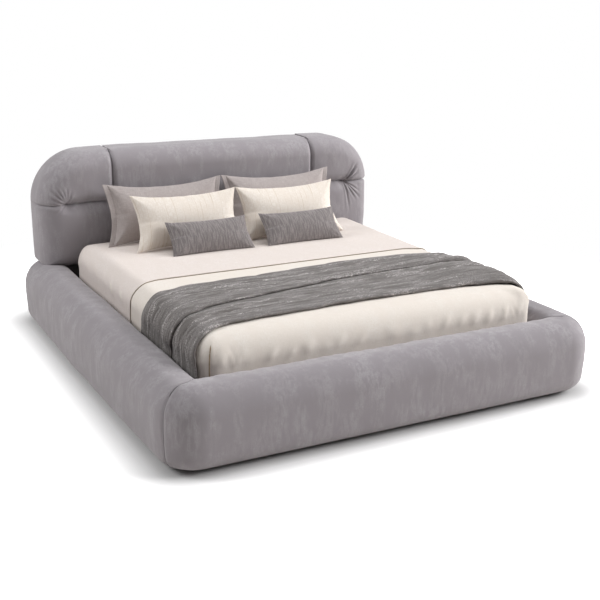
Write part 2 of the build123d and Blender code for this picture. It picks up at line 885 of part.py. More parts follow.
bed_level = mattress_top + top_sheet_out + layer_gap


def placed_pillow(form, x, y, lean, inset):
    """A pillow leaned back on the bed, pressed flat where it rests."""
    lower = bed_level - pillow_sink * cos(radians(lean))
    with BuildPart() as placed:
        with Locations(Location((x, y, lower), (-lean, 0, 0))):
            add(form)
        low = (-half_width, -half_length, 0)
        block(low, (half_width, half_length, bed_level + inset), Mode.SUBTRACT)
    return placed.part


pillow_sizes = {
    "sham": (sham_width, sham_height, sham_thickness),
    "cream_pillow": (cream_width, cream_height, cream_thickness),
    "lumbar": (lumbar_width, lumbar_height, lumbar_thickness),
}
pillow_places = {
    "sham": (sham_left_x, sham_right_x, sham_y, sham_lean),
    "cream_pillow": (cream_left_x, cream_right_x, cream_y, cream_lean),
    "lumbar": (lumbar_left_x, lumbar_right_x, lumbar_y, lumbar_lean),
}
for kind, size in pillow_sizes.items():
    left_x, right_x, y, lean = pillow_places[kind]
    outer_form = pillow_form(*size, 0)
    cloth_form = pillow_form(*size, pillow_cloth)
    insert_form = pillow_form(*size, pillow_cloth + ease)
    for side, x in (("left", left_x), ("right", right_x)):
        with BuildPart() as pillow_cover:
            add(placed_pillow(outer_form, x, y, lean, 0))
            add(placed_pillow(cloth_form, x, y, lean, pillow_cloth), mode=Mode.SUBTRACT)
        finish(pillow_cover, kind + "_" + side + "_cover")
        with BuildPart() as pillow_insert:
            add(placed_pillow(insert_form, x, y, lean, pillow_cloth + ease))
        finish(pillow_insert, kind + "_" + side + "_insert")
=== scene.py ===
import json

import bmesh
import bpy
import numpy as np
from mathutils import Matrix, Vector


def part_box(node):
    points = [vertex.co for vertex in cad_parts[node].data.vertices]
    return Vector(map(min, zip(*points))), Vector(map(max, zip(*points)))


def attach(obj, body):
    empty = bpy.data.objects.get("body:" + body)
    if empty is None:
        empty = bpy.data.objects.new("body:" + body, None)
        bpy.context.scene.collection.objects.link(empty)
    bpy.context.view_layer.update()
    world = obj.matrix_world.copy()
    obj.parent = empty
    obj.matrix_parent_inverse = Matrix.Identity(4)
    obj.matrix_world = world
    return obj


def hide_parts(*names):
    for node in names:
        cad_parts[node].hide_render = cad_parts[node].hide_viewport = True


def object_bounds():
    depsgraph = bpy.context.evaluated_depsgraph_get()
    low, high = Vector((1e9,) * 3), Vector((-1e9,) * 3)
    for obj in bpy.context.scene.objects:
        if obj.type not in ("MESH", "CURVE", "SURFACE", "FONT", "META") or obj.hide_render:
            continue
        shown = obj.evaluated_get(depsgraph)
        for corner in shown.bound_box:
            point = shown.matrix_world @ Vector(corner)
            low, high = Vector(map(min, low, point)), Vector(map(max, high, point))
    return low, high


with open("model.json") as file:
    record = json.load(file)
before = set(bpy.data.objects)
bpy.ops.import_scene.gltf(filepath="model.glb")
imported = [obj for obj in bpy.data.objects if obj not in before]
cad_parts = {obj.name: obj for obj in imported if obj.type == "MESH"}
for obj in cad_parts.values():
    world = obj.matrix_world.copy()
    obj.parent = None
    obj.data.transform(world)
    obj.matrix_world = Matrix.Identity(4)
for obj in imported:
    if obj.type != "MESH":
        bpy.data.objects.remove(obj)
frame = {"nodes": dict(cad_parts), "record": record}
cad_low, cad_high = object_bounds()

# Camera: the photograph's viewpoint, in metres and radians
camera_place = (-2.634, -5.177, 2.1205)
camera_heading = 0.4875
camera_dip = 0.3010
camera_roll = 0.012
camera_lens = 61.6
camera_sensor = 36

# Rails: the section of the padded roll, as the CAD has it
rail_width = 0.238
rail_lift = 0.012
rail_bulge = 0.016
rail_crown = 0.010
rail_draw_in = 0.004
well_bulge = 0.004
bottom_roll = 0.078
top_outer_roll = 0.118
top_inner_roll = 0.078
lip_roll = 0.018
corner_radius = 0.185
frame_inset = 0.0696
frame_width = 0.1208
frame_bottom = 0.0396
frame_top = 0.3004
underside_opening = 0.125
lip_height = 0.288
mitre_depth = 0.0032
mitre_width = 0.0065
mitre_wrap = 0.33
section_points, run_stations, corner_stations = 84, 141, 22
run_crowding = 1.46
well_fold_spacing = 0.085
well_fold_depth = 0.17

# Headboard panels
seam_place = 0.7
wing_top_corner = 0.312
wing_foot_corner = 0.038
seam_foot_corner = 0.012
seam_top_corner = 0.005
tight_roll = 0.020
top_roll = 0.118
foot_roll = 0.070
seam_roll = 0.030
back_roll = 0.040
back_rim = 0.0746
pocket_depth = 0.0846
wing_belly = 0.740
wing_foot_sink = 0.014
wing_top_rise = 0.003
wing_foot_draw = 0.002
wing_shoulder_draw = 0.006
wing_top_fall = 0.014
wing_setback = 0.017
wing_seam_height = 0.785
wing_lips = (0.055, 0.085)
wing_lobes = (0.32, 0.37)
centre_setback = 0.008
back_corners = (0.033, 0.033, 0.265, 0.265)

# Rolled blocks: how far the grid crowds to the edges, what share of the side's cells each roll takes, and
# the rings of a hollow back as shares of the way out: the back roll's end, the rim's end, the pocket's
block_crowding = 1.2
roll_share = 0.25
heel_ring, rim_ring, floor_ring = 0.88, 0.82, 0.72

# Mattress and linen
mattress_corners = {"foot_left": 0.110, "foot_right": 0.066, "head_right": 0.060, "head_left": 0.060}
mattress_rolls = {"left": 0.105, "right": 0.056, "foot": 0.132, "head": 0.070}
mattress_tight_roll = 0.045
mattress_heel = 0.025
tape_below_top, tape_above_foot, quilt_spacing = 0.075, 0.035, 0.11
pleat_from_corner, pleat_spacing = 0.15, 0.032
fitted_lift, fitted_cloth = 0.0012, 0.0012
top_lift, top_cloth = 0.0034, 0.0014
linen_lift = 0.0052
turn_down_place = -0.030

# Throw: each line is (place across the bed from its middle, over the edge and down; place along it)
throw_cloth = 0.0030
throw_stations = 200
throw_drop_height = 0.300
free_of_well = (0.385, 0.445)
foot_edge_line = (
    (-1.10, -1.035), (-0.995, -1.022), (-0.918, -0.985), (-0.782, -0.915), (-0.581, -0.890),
    (-0.115, -0.862), (0.350, -0.856), (0.632, -0.866), (0.850, -0.905), (0.980, -0.985), (1.100, -1.010),
)
head_edge_line = (
    (-1.10, -0.262), (-0.959, -0.306), (-0.830, -0.262), (-0.693, -0.222), (-0.250, -0.200),
    (0.296, -0.150), (0.650, -0.168), (0.900, -0.235), (1.100, -0.300),
)
deep_fold_line = (
    (-1.10, -0.700), (-0.980, -0.738), (-0.897, -0.715), (-0.756, -0.645), (-0.424, -0.565),
    (0.117, -0.458), (0.500, -0.440), (0.800, -0.480), (1.100, -0.560),
)

# Sewn pillow cases: cells, how far they crowd to the seam, how much of the simulated swell is kept, and
# the simulation's scale and frames
case_cells = (76, 1, 44)
case_crowding = 1.4
case_keeps = (0.34, 0, 0.30)
case_scale = 10
case_frames = 20
pillow_sink = 0.014

# Floor: its matt colour for the lamps' light, and what the eye sees: a painted shade, darkest at this half
# width and half length round the rails and rising to full paleness in half a metre, and a white glow from
# two to three metres off
floor_reach = 30.0
floor_matt = (0.84, 0.81, 0.78, 1)
shade_core = (1.08, 1.19, 0)
shade_width = 0.50
shade_range = (0.50, 2.2)
glow_range = (2.0, 3.4)
surround_light = 0.13


# Meshes as whole arrays


def grid_faces(rows, columns, closed=False):
    """Quads of a grid of points numbered row by row; closed joins each row's end to its start."""
    index = np.arange(rows * columns).reshape(rows, columns)
    if closed:
        index = np.hstack([index, index[:, :1]])
    corners = (index[:-1, :-1], index[1:, :-1], index[1:, 1:], index[:-1, 1:])
    return np.stack(corners, axis=-1).reshape(-1, 4)


def weld(points, faces):
    """Merges points nearer than a hundredth of a millimetre, so that seams and poles are closed."""
    keys = np.round(points * 1e5).astype(np.int64)
    _, first, merged = np.unique(keys, axis=0, return_index=True, return_inverse=True)
    return points[first], merged.reshape(-1)[faces]


def cube_grid(across, deep, high):
    """Quads on the skin of a cube from -1 to 1, with that many cells along each axis."""
    cells = (across, deep, high)
    points, faces, count = [], [], 0
    for axis in range(3):
        first, second = (axis + 1) % 3, (axis + 2) % 3
        steps = [np.linspace(-1, 1, cells[k] + 1) for k in (first, second)]
        u, v = np.meshgrid(*steps, indexing="ij")
        for side in (-1, 1):
            patch = np.zeros((u.size, 3))
            patch[:, axis] = side
            patch[:, first] = u.ravel()
            patch[:, second] = v.ravel()
            quads = grid_faces(*u.shape) + count
            faces.append(quads if side > 0 else quads[:, ::-1])
            points.append(patch)
            count += u.size
    return weld(np.vstack(points), np.vstack(faces))


def normals_of(points, faces):
    """Unit normal at each point: the sum of the diagonals' cross products of the faces round it."""
    a, b, c, d = (points[faces[:, k]] for k in range(4))
    crossed = np.cross(c - a, d - b)
    total = [sum(np.bincount(faces[:, k], part, len(points)) for k in range(4)) for part in crossed.T]
    total = np.stack(total, axis=1)
    return total / np.maximum(np.linalg.norm(total, axis=1, keepdims=True), 1e-12)


def ripple(points, wavelength, seed):
    """Smooth unevenness of about -1 to 1: nine plane sine waves in seeded directions, added up."""
    draw = np.random.default_rng(seed)
    directions = draw.normal(size=(9, points.shape[1]))
    directions /= np.linalg.norm(directions, axis=1, keepdims=True)
    turns = 2 * np.pi / (wavelength * draw.uniform(0.7, 1.4, 9))
    phases = draw.uniform(0, 2 * np.pi, 9)
    return np.sin(points @ directions.T * turns + phases).sum(axis=1) / 4


def smooth(value, start, end):
    """Rises from 0 at the start to 1 at the end with level ends."""
    share = np.clip((value - start) / (end - start), 0, 1)
    return share * share * (3 - 2 * share)


def bell(distance, width):
    """A soft hump: 1 in its middle, about a third at the width, nothing at twice the width."""
    return np.exp(-((distance / width) ** 2))


def arch(share):
    """A parabola over a share: 0 at both ends and 1 in the middle."""
    return 4 * share * (1 - share)


def crowded(steps, amount):
    """Steps from -1 to 1 drawn together towards both ends: the sine of their amount, over its own sine."""
    return np.sin(steps * amount) / np.sin(amount)


def add_object(name, data):
    """A new object in the scene."""
    made = bpy.data.objects.new(name, data)
    bpy.context.scene.collection.objects.link(made)
    return made


def make_piece(name, points, faces, material, body, stands_for=(), cloth_map=None):
    """A shown mesh that rides on a body; cloth_map gives each point its place on the flat cloth."""
    repeated = (faces == np.roll(faces, 1, axis=1)).any(axis=1)
    pinched = [list(dict.fromkeys(face)) for face in faces[repeated].tolist()]
    mesh = bpy.data.meshes.new(name)
    mesh.from_pydata(points, [], faces[~repeated].tolist() + [f for f in pinched if len(f) > 2])
    mesh.shade_smooth()
    mesh.materials.append(material)
    if cloth_map is not None:
        corners = np.zeros(len(mesh.loops), np.int32)
        mesh.loops.foreach_get("vertex_index", corners)
        layer = mesh.uv_layers.new(name="cloth")
        layer.uv.foreach_set("vector", cloth_map[corners].astype(np.float32).ravel())
    thing = add_object(name, mesh)
    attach(thing, body)
    if stands_for:
        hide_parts(*stands_for)
    return thing


def padded_piece(name, points, faces, material, body, stands_for, cloth_map=None):
    """A cushion or pad: a closed mesh with its faces turned outwards."""
    thing = make_piece(name, points, faces, material, body, stands_for, cloth_map)
    shell = bmesh.new()
    shell.from_mesh(thing.data)
    bmesh.ops.recalc_face_normals(shell, faces=shell.faces)
    shell.to_mesh(thing.data)
    shell.free()
    return thing


def box_of(node):
    """Lowest and highest corner of a CAD node as arrays."""
    low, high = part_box(node)
    return np.array(low), np.array(high)


# Materials


def linear(code):
    """An sRGB hex colour as linear red, green, blue and alpha."""
    parts = [int(code[k : k + 2], 16) / 255 for k in (1, 3, 5)]
    return [p / 12.92 if p <= 0.04045 else ((p + 0.055) / 1.055) ** 2.4 for p in parts] + [1.0]


def add_node(tree, kind, settings=None, inputs=None):
    """Adds a node with its own settings; an input is a value or another node's output."""
    made = tree.nodes.new(kind)
    for key, value in (settings or {}).items():
        setattr(made, key, value)
    for key, value in (inputs or {}).items():
        if isinstance(value, bpy.types.NodeSocket):
            tree.links.new(value, made.inputs[key])
        else:
            made.inputs[key].default_value = value
    return made


def layered_finish(name, surface, ground, *layers, on_cloth=False):
    """A Principled material whose colour and relief are layers of stretched noise, one on the other.

    A layer is: cells per metre along each axis, detail, the noise below which its colour is full, the
    noise above which the layer under it shows, its colour, and its relief in metres."""
    material = bpy.data.materials.new(name)
    material.use_nodes = True
    tree = material.node_tree
    shader = tree.nodes["Principled BSDF"]
    for key, value in surface.items():
        shader.inputs[key].default_value = value
    if on_cloth:
        place = add_node(tree, "ShaderNodeUVMap", {"uv_map": "cloth"}).outputs["UV"]
    else:
        place = add_node(tree, "ShaderNodeTexCoord").outputs["Object"]
    colour = linear(ground)
    relief_so_far = {}
    for stretch, detail, full, gone, tint, relief in layers:
        spread = add_node(tree, "ShaderNodeMapping", {}, {"Vector": place, "Scale": stretch})
        pattern = add_node(
            tree, "ShaderNodeTexNoise", {}, {"Vector": spread.outputs[0], "Scale": 1.0, "Detail": detail}
        )
        height = pattern.outputs["Fac"]
        share = add_node(
            tree,
            "ShaderNodeMapRange",
            {"interpolation_type": "SMOOTHSTEP"},
            {"Value": height, "From Min": full, "From Max": gone},
        )
        mixed = add_node(
            tree, "ShaderNodeMix", {"data_type": "RGBA"}, {0: share.outputs[0], 6: linear(tint), 7: colour}
        )
        colour = mixed.outputs[2]
        if relief:
            bump = add_node(
                tree, "ShaderNodeBump", {}, {"Height": height, "Distance": relief, **relief_so_far}
            )
            relief_so_far = {"Normal": bump.outputs[0]}
    tree.links.new(colour, shader.inputs["Base Color"])
    if relief_so_far:
        tree.links.new(relief_so_far["Normal"], shader.inputs["Normal"])
    return material


# Polyester velvet, its short pile brushed one way and the other: cloudy light and dark, long soft
# brush marks down the sides, and a pile of 0.3 mm drawn at 3 mm so that it shows
velvet = layered_finish(
    "brushed_velvet",
    {"Roughness": 0.9, "Sheen Weight": 0.22, "Sheen Roughness": 0.5, "Specular IOR Level": 0.2},
    "#aca8ac",
    ((3.2, 3.2, 3.2), 3.0, 0.36, 0.64, "#a39ea2", 0),
    ((12, 12, 5), 4.0, 0.38, 0.60, "#979296", 0.0006),
    ((55, 55, 13), 3.0, 0.34, 0.58, "#979296", 0.0002),
    ((330, 330, 330), 2.0, 0.36, 0.60, "#969094", 0.0003),
)


def threads(across, along, full, gone, tint, relief):
    """Two layers of noise drawn out into threads, the second across the first."""
    return [((a, b, 1), 2.0, full, gone, tint, relief) for a, b in ((across, along), (along, across))]


def percale(name, ground, broad, wash, thread, crease):
    """Percale, 0.25 mm threads drawn at 3 mm: almost smooth, with a faint weave and creases from the wash."""
    return layered_finish(
        name,
        {"Roughness": 0.85, "Sheen Weight": 0.04, "Specular IOR Level": 0.25},
        ground,
        ((3, 3, 1), 3.0, 0.34, 0.66, broad, 0),
        ((14, 5, 1), 3.0, 0.34, 0.60, wash, crease),
        *threads(30, 330, 0.36, 0.58, thread, 0.0001),
        on_cloth=True,
    )


# Smooth cream percale of the fitted sheet, and the top sheet's with a blush of pink
cream_sheet = percale("cream_percale", "#e9e3dd", "#e8e0d8", "#e6ddd5", "#e2dad1", 0.0010)
blush_sheet = percale("blush_percale", "#e6deda", "#e3dad5", "#e1d8d2", "#ddd3cd", 0.0009)
# Washed linen, 0.6 mm threads drawn at 3 mm: uneven yarns in both directions, matt
taupe_linen = layered_finish(
    "taupe_linen",
    {"Roughness": 0.92, "Sheen Weight": 0.08, "Specular IOR Level": 0.2},
    "#bbb3b1",
    ((6, 6, 1), 3.0, 0.34, 0.66, "#b2a9a8", 0),
    *threads(26, 330, 0.34, 0.60, "#a89f9d", 0.0003),
    on_cloth=True,
)
# Slub linen: here and there a thick upright yarn, 30 to 80 mm apart, stands out as a fine tan line
cream_linen = layered_finish(
    "cream_slub_linen",
    {"Roughness": 0.92, "Sheen Weight": 0.05, "Specular IOR Level": 0.2},
    "#ede6df",
    ((6, 6, 1), 3.0, 0.30, 0.60, "#e6dcd2", 0),
    ((130, 2.5, 1), 2.0, 0.34, 0.43, "#cdbca8", 0.0006),
    *threads(330, 40, 0.34, 0.58, "#e0d6cb", 0.0002),
    on_cloth=True,
)
# Heathered yarn of light and dark plies in a loose twill: streaks along the throw and pale flecks, the
# floats of 3 mm drawn at 6 mm so that they show, over dark gaps; broad darker bands along the throw are
# painted shade of its long folds
throw_weave = layered_finish(
    "heather_throw",
    {"Roughness": 0.95, "Sheen Weight": 0.1, "Sheen Roughness": 0.6, "Specular IOR Level": 0.15},
    "#dcd6d4",
    # Painted shade: broad darker bands, about 60 mm wide and over a metre long, for the shade of long folds
    ((0.7, 17, 1), 1.0, 0.44, 0.60, "#9a9593", 0.0),
    ((32, 220, 1), 3.0, 0.44, 0.57, "#8d8886", 0.0014),
    ((210, 80, 1), 3.0, 0.43, 0.55, "#797573", 0.0014),
    ((5, 40, 1), 3.0, 0.40, 0.56, "#736e6b", 0.0008),
    ((330, 330, 1), 2.0, 0.34, 0.54, "#5b5859", 0.0006),
    on_cloth=True,
)
# Slubbed upholstery cloth: wavering upright ribs about 8 mm apart in two greys
lumbar_weave = layered_finish(
    "grey_slub_weave",
    {"Roughness": 0.95, "Sheen Weight": 0.1, "Sheen Roughness": 0.6, "Specular IOR Level": 0.15},
    "#968f8e",
    ((125, 16, 1), 4.0, 0.42, 0.58, "#7b7575", 0.0012),
    ((330, 330, 1), 2.0, 0.34, 0.56, "#6c6767", 0.0004),
    on_cloth=True,
)
# Brown cotton, its 1 mm ribs drawn at 3 mm: the top sheet's binding tape, whose line also stands for the
# painted contact shadow under the rolled hem, and a painted shade line along each dart's crease
tape_and_painted_shadow = layered_finish(
    "tape_and_painted_shadow",
    {"Roughness": 0.9, "Specular IOR Level": 0.2},
    "#8d7659",
    ((330, 330, 1), 2.0, 0.36, 0.60, "#76613f", 0.0002),
    on_cloth=True,
)
# Mattress ticking: close-woven white cotton with a faint stripe
ticking = layered_finish(
    "mattress_ticking",
    {"Roughness": 0.9, "Specular IOR Level": 0.2},
    "#f2f0eb",
    ((60, 2, 1), 2.0, 0.40, 0.52, "#e6e2da", 0.0002),
    ((330, 330, 1), 2.0, 0.36, 0.60, "#e9e6df", 0.0002),
    on_cloth=True,
)
# Birch plywood and pine boards, planed: long grain lines, darker where the wood is dense
birch_ply = layered_finish(
    "birch_plywood",
    {"Roughness": 0.6, "Specular IOR Level": 0.4},
    "#dcc298",
    ((12, 12, 60), 5.0, 0.40, 0.60, "#c6a676", 0.0002),
    ((90, 90, 420), 2.0, 0.30, 0.46, "#b08d5c", 0.0001),
)
pine = layered_finish(
    "planed_pine",
    {"Roughness": 0.62, "Specular IOR Level": 0.4},
    "#e5cb9f",
    ((5, 55, 55), 5.0, 0.38, 0.60, "#cfa66f", 0.0003),
    ((40, 420, 420), 2.0, 0.30, 0.46, "#b98d57", 0.0001),
)
# Powder-coated sheet steel: black, with the coat's fine orange peel of 1 mm drawn at 3 mm
black_steel = layered_finish(
    "powder_coated_steel",
    {"Roughness": 0.5},
    "#262628",
    ((330, 330, 330), 2.0, 0.36, 0.62, "#1e1e20", 0.0002),
)
# Bright zinc plate on bolts and screws: pale bluish metal, a little clouded
zinc = layered_finish(
    "zinc_plated_steel",
    {"Metallic": 1.0, "Roughness": 0.34},
    "#c3c6ca",
    ((120, 120, 120), 3.0, 0.36, 0.62, "#a9adb2", 0.0001),
)
# Injection-moulded polypropylene: black, spark-eroded matt grain of 0.5 mm drawn at 2 mm
plastic = layered_finish(
    "moulded_plastic",
    {"Roughness": 0.55},
    "#1f1f20",
    ((500, 500, 500), 2.0, 0.36, 0.62, "#171718", 0.0002),
)

node_finishes = {
    "plywood": birch_ply,
    "pine": pine,
    "bracket_steel": black_steel,
    "zinc_steel": zinc,
    "black_plastic": plastic,
}
for subpart in frame["record"]["subparts"]:
    finish = node_finishes.get(subpart["material_slot"])
    if finish:
        node_mesh = frame["nodes"][subpart["node"]].data
        node_mesh.materials.clear()
        node_mesh.materials.append(finish)


# Rails


def rounded_corner(corner, before, after, radius, count):
    """Points on the arc that rounds a corner between two neighbours."""
    corner, before, after = (np.array(p, float) for p in (corner, before, after))
    to_before = (before - corner) / np.linalg.norm(before - corner)
    to_after = (after - corner) / np.linalg.norm(after - corner)
    half = np.arccos(np.clip(to_before @ to_after, -1, 1)) / 2
    middle = (to_before + to_after) / np.linalg.norm(to_before + to_after)
    centre = corner + middle * radius / np.sin(half)
    sweep = np.linspace(-1, 1, count) * (np.pi / 2 - half)
    sideways = np.array([middle[1], -middle[0]])
    if sideways @ to_after < 0:
        sideways = -sideways
    return centre + radius * (np.outer(np.sin(sweep), sideways) - np.outer(np.cos(sweep), middle))


def resample(chain, count):
    """The chain of points at equal steps along its length."""
    steps = np.linalg.norm(np.diff(chain, axis=0), axis=1)
    length = np.concatenate([[0], np.cumsum(steps)])
    places = np.linspace(0, length[-1], count)
    return np.stack([np.interp(places, length, chain[:, k]) for k in (0, 1)], axis=1)


def rail_section(top, count):
    """Outer and inner chains of a rail's closed section: depth from the outer face, and height.

    The outer chain runs from the staple line under the rail round the padded roll to the lip in the
    well; the inner one goes back along the channel that the box beam fills."""
    shoulder = top - rail_crown
    well_side, frame_side = rail_width - well_bulge, frame_inset + frame_width
    chain = [(underside_opening, rail_lift), (0, rail_lift), (0, shoulder)]
    chain += [(well_side, shoulder), (well_side, lip_height), (frame_side, lip_height)]
    rolls = ((bottom_roll, 24), (top_outer_roll, 24), (top_inner_roll, 20), (lip_roll, 8))
    arcs = [rounded_corner(chain[k], chain[k - 1], chain[k + 1], *rolls[k - 1]) for k in range(1, 5)]
    outer = resample(np.vstack([chain[:1], *arcs, chain[-1:]]), count)
    depth, height = outer.T
    middle = (rail_lift + shoulder) / 2
    side_share = np.clip(1 - ((height - middle) / (shoulder - middle)) ** 2, 0, 1)
    crown_share = np.clip(1 - ((depth - rail_width / 2) / (rail_width / 2)) ** 2, 0, 1)
    outwards = (rail_bulge * side_share - rail_draw_in) * (1 - smooth(depth, 0.02, rail_width / 2))
    in_well = smooth(depth, rail_width / 2, rail_width - 0.02)
    inwards = well_bulge * in_well * smooth(height, lip_height, top - 0.06)
    upwards = rail_crown * crown_share * smooth(height, top - 0.12, top - 0.03)
    outer = np.stack([depth - outwards + inwards, height + upwards], axis=1)
    inner = [(underside_opening, frame_bottom), (frame_inset, frame_bottom)]
    inner += [(frame_inset, frame_top), (frame_side, frame_top)]
    return outer, resample(np.array(inner), count)


def velvet_piece(name, node, points, faces):
    """A padded velvet part of the frame, shown in place of a CAD cover and its pad."""
    stands_for = (node + "_cover", node + "_pad")
    padded_piece(name + "_upholstery", points, faces, velvet, "bed_frame", stands_for)


def rail_piece(name, half_run, half_depth, turn, wrap, swell, seed):
    """A rail between its mitres: the section carried along the run and round its part of each corner.

    A station of the path moves each section point along the run; past the corner's centre it turns
    about it, by 45 degrees and the wrap, which moves the seam round the corner to the long rails'
    side. What lies deeper than the centre stops at the mitre plane. The seam is sunk, and the cloth
    beside it puckers. The outer face swells along the run, most towards the run's start."""
    top = box_of(name + "_cover")[1][2]
    outer, inner = rail_section(top, section_points)
    section = np.vstack([outer, inner[::-1]])
    depth, height = section.T
    corner_run = half_run - corner_radius
    radius = np.maximum(corner_radius - depth, 0)
    mitre_run = corner_run - np.maximum(depth - corner_radius, 0)
    share = crowded(np.linspace(-1, 1, run_stations), run_crowding)
    limit = np.pi / 4 + wrap * smooth(corner_radius - depth, 0, 0.12)
    bend = np.linspace(0, 1, corner_stations)[1:, None] * limit
    bent_along = mitre_run + np.sin(bend) * radius
    bent_into = depth + (1 - np.cos(bend)) * radius
    straight = np.outer(share, mitre_run)
    along = np.vstack([-bent_along[::-1], straight, bent_along])
    into = np.vstack([bent_into[::-1], np.broadcast_to(depth, straight.shape), bent_into])
    still_to_go = (limit - bend) * radius
    straight_to_go = mitre_run * (1 - np.abs(share))[:, None] + limit * radius
    near = np.vstack([still_to_go[::-1], straight_to_go, still_to_go]).ravel()
    rows, columns = along.shape
    points = np.stack([along, into - half_depth, np.broadcast_to(height, along.shape)], axis=-1)
    points = points.reshape(-1, 3)
    faces = grid_faces(rows, columns, closed=True)
    half = columns // 2
    for row in (0, rows - 1):
        outer_side = row * columns + np.arange(half)
        inner_side = row * columns + columns - 1 - np.arange(half)
        cap = np.stack([outer_side[:-1], outer_side[1:], inner_side[1:], inner_side[:-1]], axis=1)
        faces = np.vstack([faces, cap[:, ::-1] if row else cap])
    on_outer = np.broadcast_to(np.arange(columns) < half, (rows, columns)).ravel()
    section_depth = np.broadcast_to(depth, (rows, columns)).ravel()
    x, y, z = points.T
    pucker = ripple(points * (1, 1, 2.2), 0.075, seed) * bell(near, 0.06)
    uneven = 0.0016 * ripple(points, 0.55, seed + 1) + 0.0008 * ripple(points, 0.16, seed + 2)
    phase = 2.5 * ripple(points, 0.6, seed + 3)
    folds = np.sin(x / well_fold_spacing * 2 * np.pi + phase + z * 9)
    folds = folds * bell(section_depth - well_fold_depth, 0.06)
    sunk = bell(near, mitre_width)
    rim = bell(near - 2.4 * mitre_width, 1.5 * mitre_width)
    amount = uneven + 0.0014 * pucker + 0.0016 * folds * smooth(near, 0.02, 0.1)
    amount = amount * smooth(near, 0, 0.02) + 0.0012 * rim - mitre_depth * sunk
    outer_swell = swell * np.clip(1 - (x / half_run + 0.15) ** 2, 0, 1)
    amount = amount + outer_swell * (1 - smooth(section_depth, 0.03, 0.2))
    amount = np.where(on_outer, amount * smooth(z, rail_lift, rail_lift + 0.05), 0)
    welded, joined = weld(points, faces)
    same = np.zeros(len(points), int)
    same[faces] = joined
    points = points + normals_of(welded, joined)[same] * amount[:, None]
    points[:, 2] = np.maximum(points[:, 2], rail_lift)
    c, s = np.cos(turn), np.sin(turn)
    x, y, z = points.T
    points, faces = weld(np.stack([c * x - s * y, s * x + c * y, z], axis=1), faces)
    velvet_piece(name, name, points, faces)


half_width = cad_high.x
half_length = cad_high.y
rail_piece("foot_rail", half_width, half_length, 0, mitre_wrap, 0.004, 10)
rail_piece("right_rail", half_length, half_width, np.pi / 2, -mitre_wrap, 0.008, 20)
rail_piece("head_rail", half_width, half_length, np.pi, mitre_wrap, 0.0, 30)
rail_piece("left_rail", half_length, half_width, -np.pi / 2, -mitre_wrap, 0.015, 40)


# Rolled blocks: headboard panels, mattress and sheets


def rounded_outline(across, up, radii):
    """A rectangle with round corners, read by t: one unit for each side, the low side first.

    The radii are those of the low left, low right, high right and high left corners, and a side takes
    half of the arc at each of its ends. Gives values of t with the points there."""
    corners = np.array([(across[0], up[0]), (across[1], up[0]), (across[1], up[1]), (across[0], up[1])])
    places, points = [], []
    quarter = np.linspace(0, np.pi / 4, 32)
    for k in range(4):
        start, end = corners[k], corners[(k + 1) % 4]
        along = (end - start) / np.linalg.norm(end - start)
        inward = np.array([-along[1], along[0]])
        first, last = radii[k], radii[(k + 1) % 4]
        back = quarter[::-1]
        leaving = np.outer(1 - np.sin(back), along) + np.outer(1 - np.cos(back), inward)
        arriving = np.outer(np.sin(quarter) - 1, along) + np.outer(1 - np.cos(quarter), inward)
        side = np.vstack([start + first * leaving, end + last * arriving])
        steps = np.concatenate([[0], np.cumsum(np.linalg.norm(np.diff(side, axis=0), axis=1))])
        places.append(k + steps / steps[-1])
        points.append(side)
    return np.concatenate(places), np.vstack(points)


def read_outline(outline, t):
    """Points of an outline at t, with its outward normals there."""
    places, points = outline
    at, ahead, behind = (
        np.stack([np.interp((t + step) % 4, places, points[:, k]) for k in (0, 1)], axis=1)
        for step in (0, 0.004, -0.004)
    )
    run = ahead - behind
    normal = np.stack([run[:, 1], -run[:, 0]], axis=1)
    return at, normal / np.linalg.norm(normal, axis=1, keepdims=True)


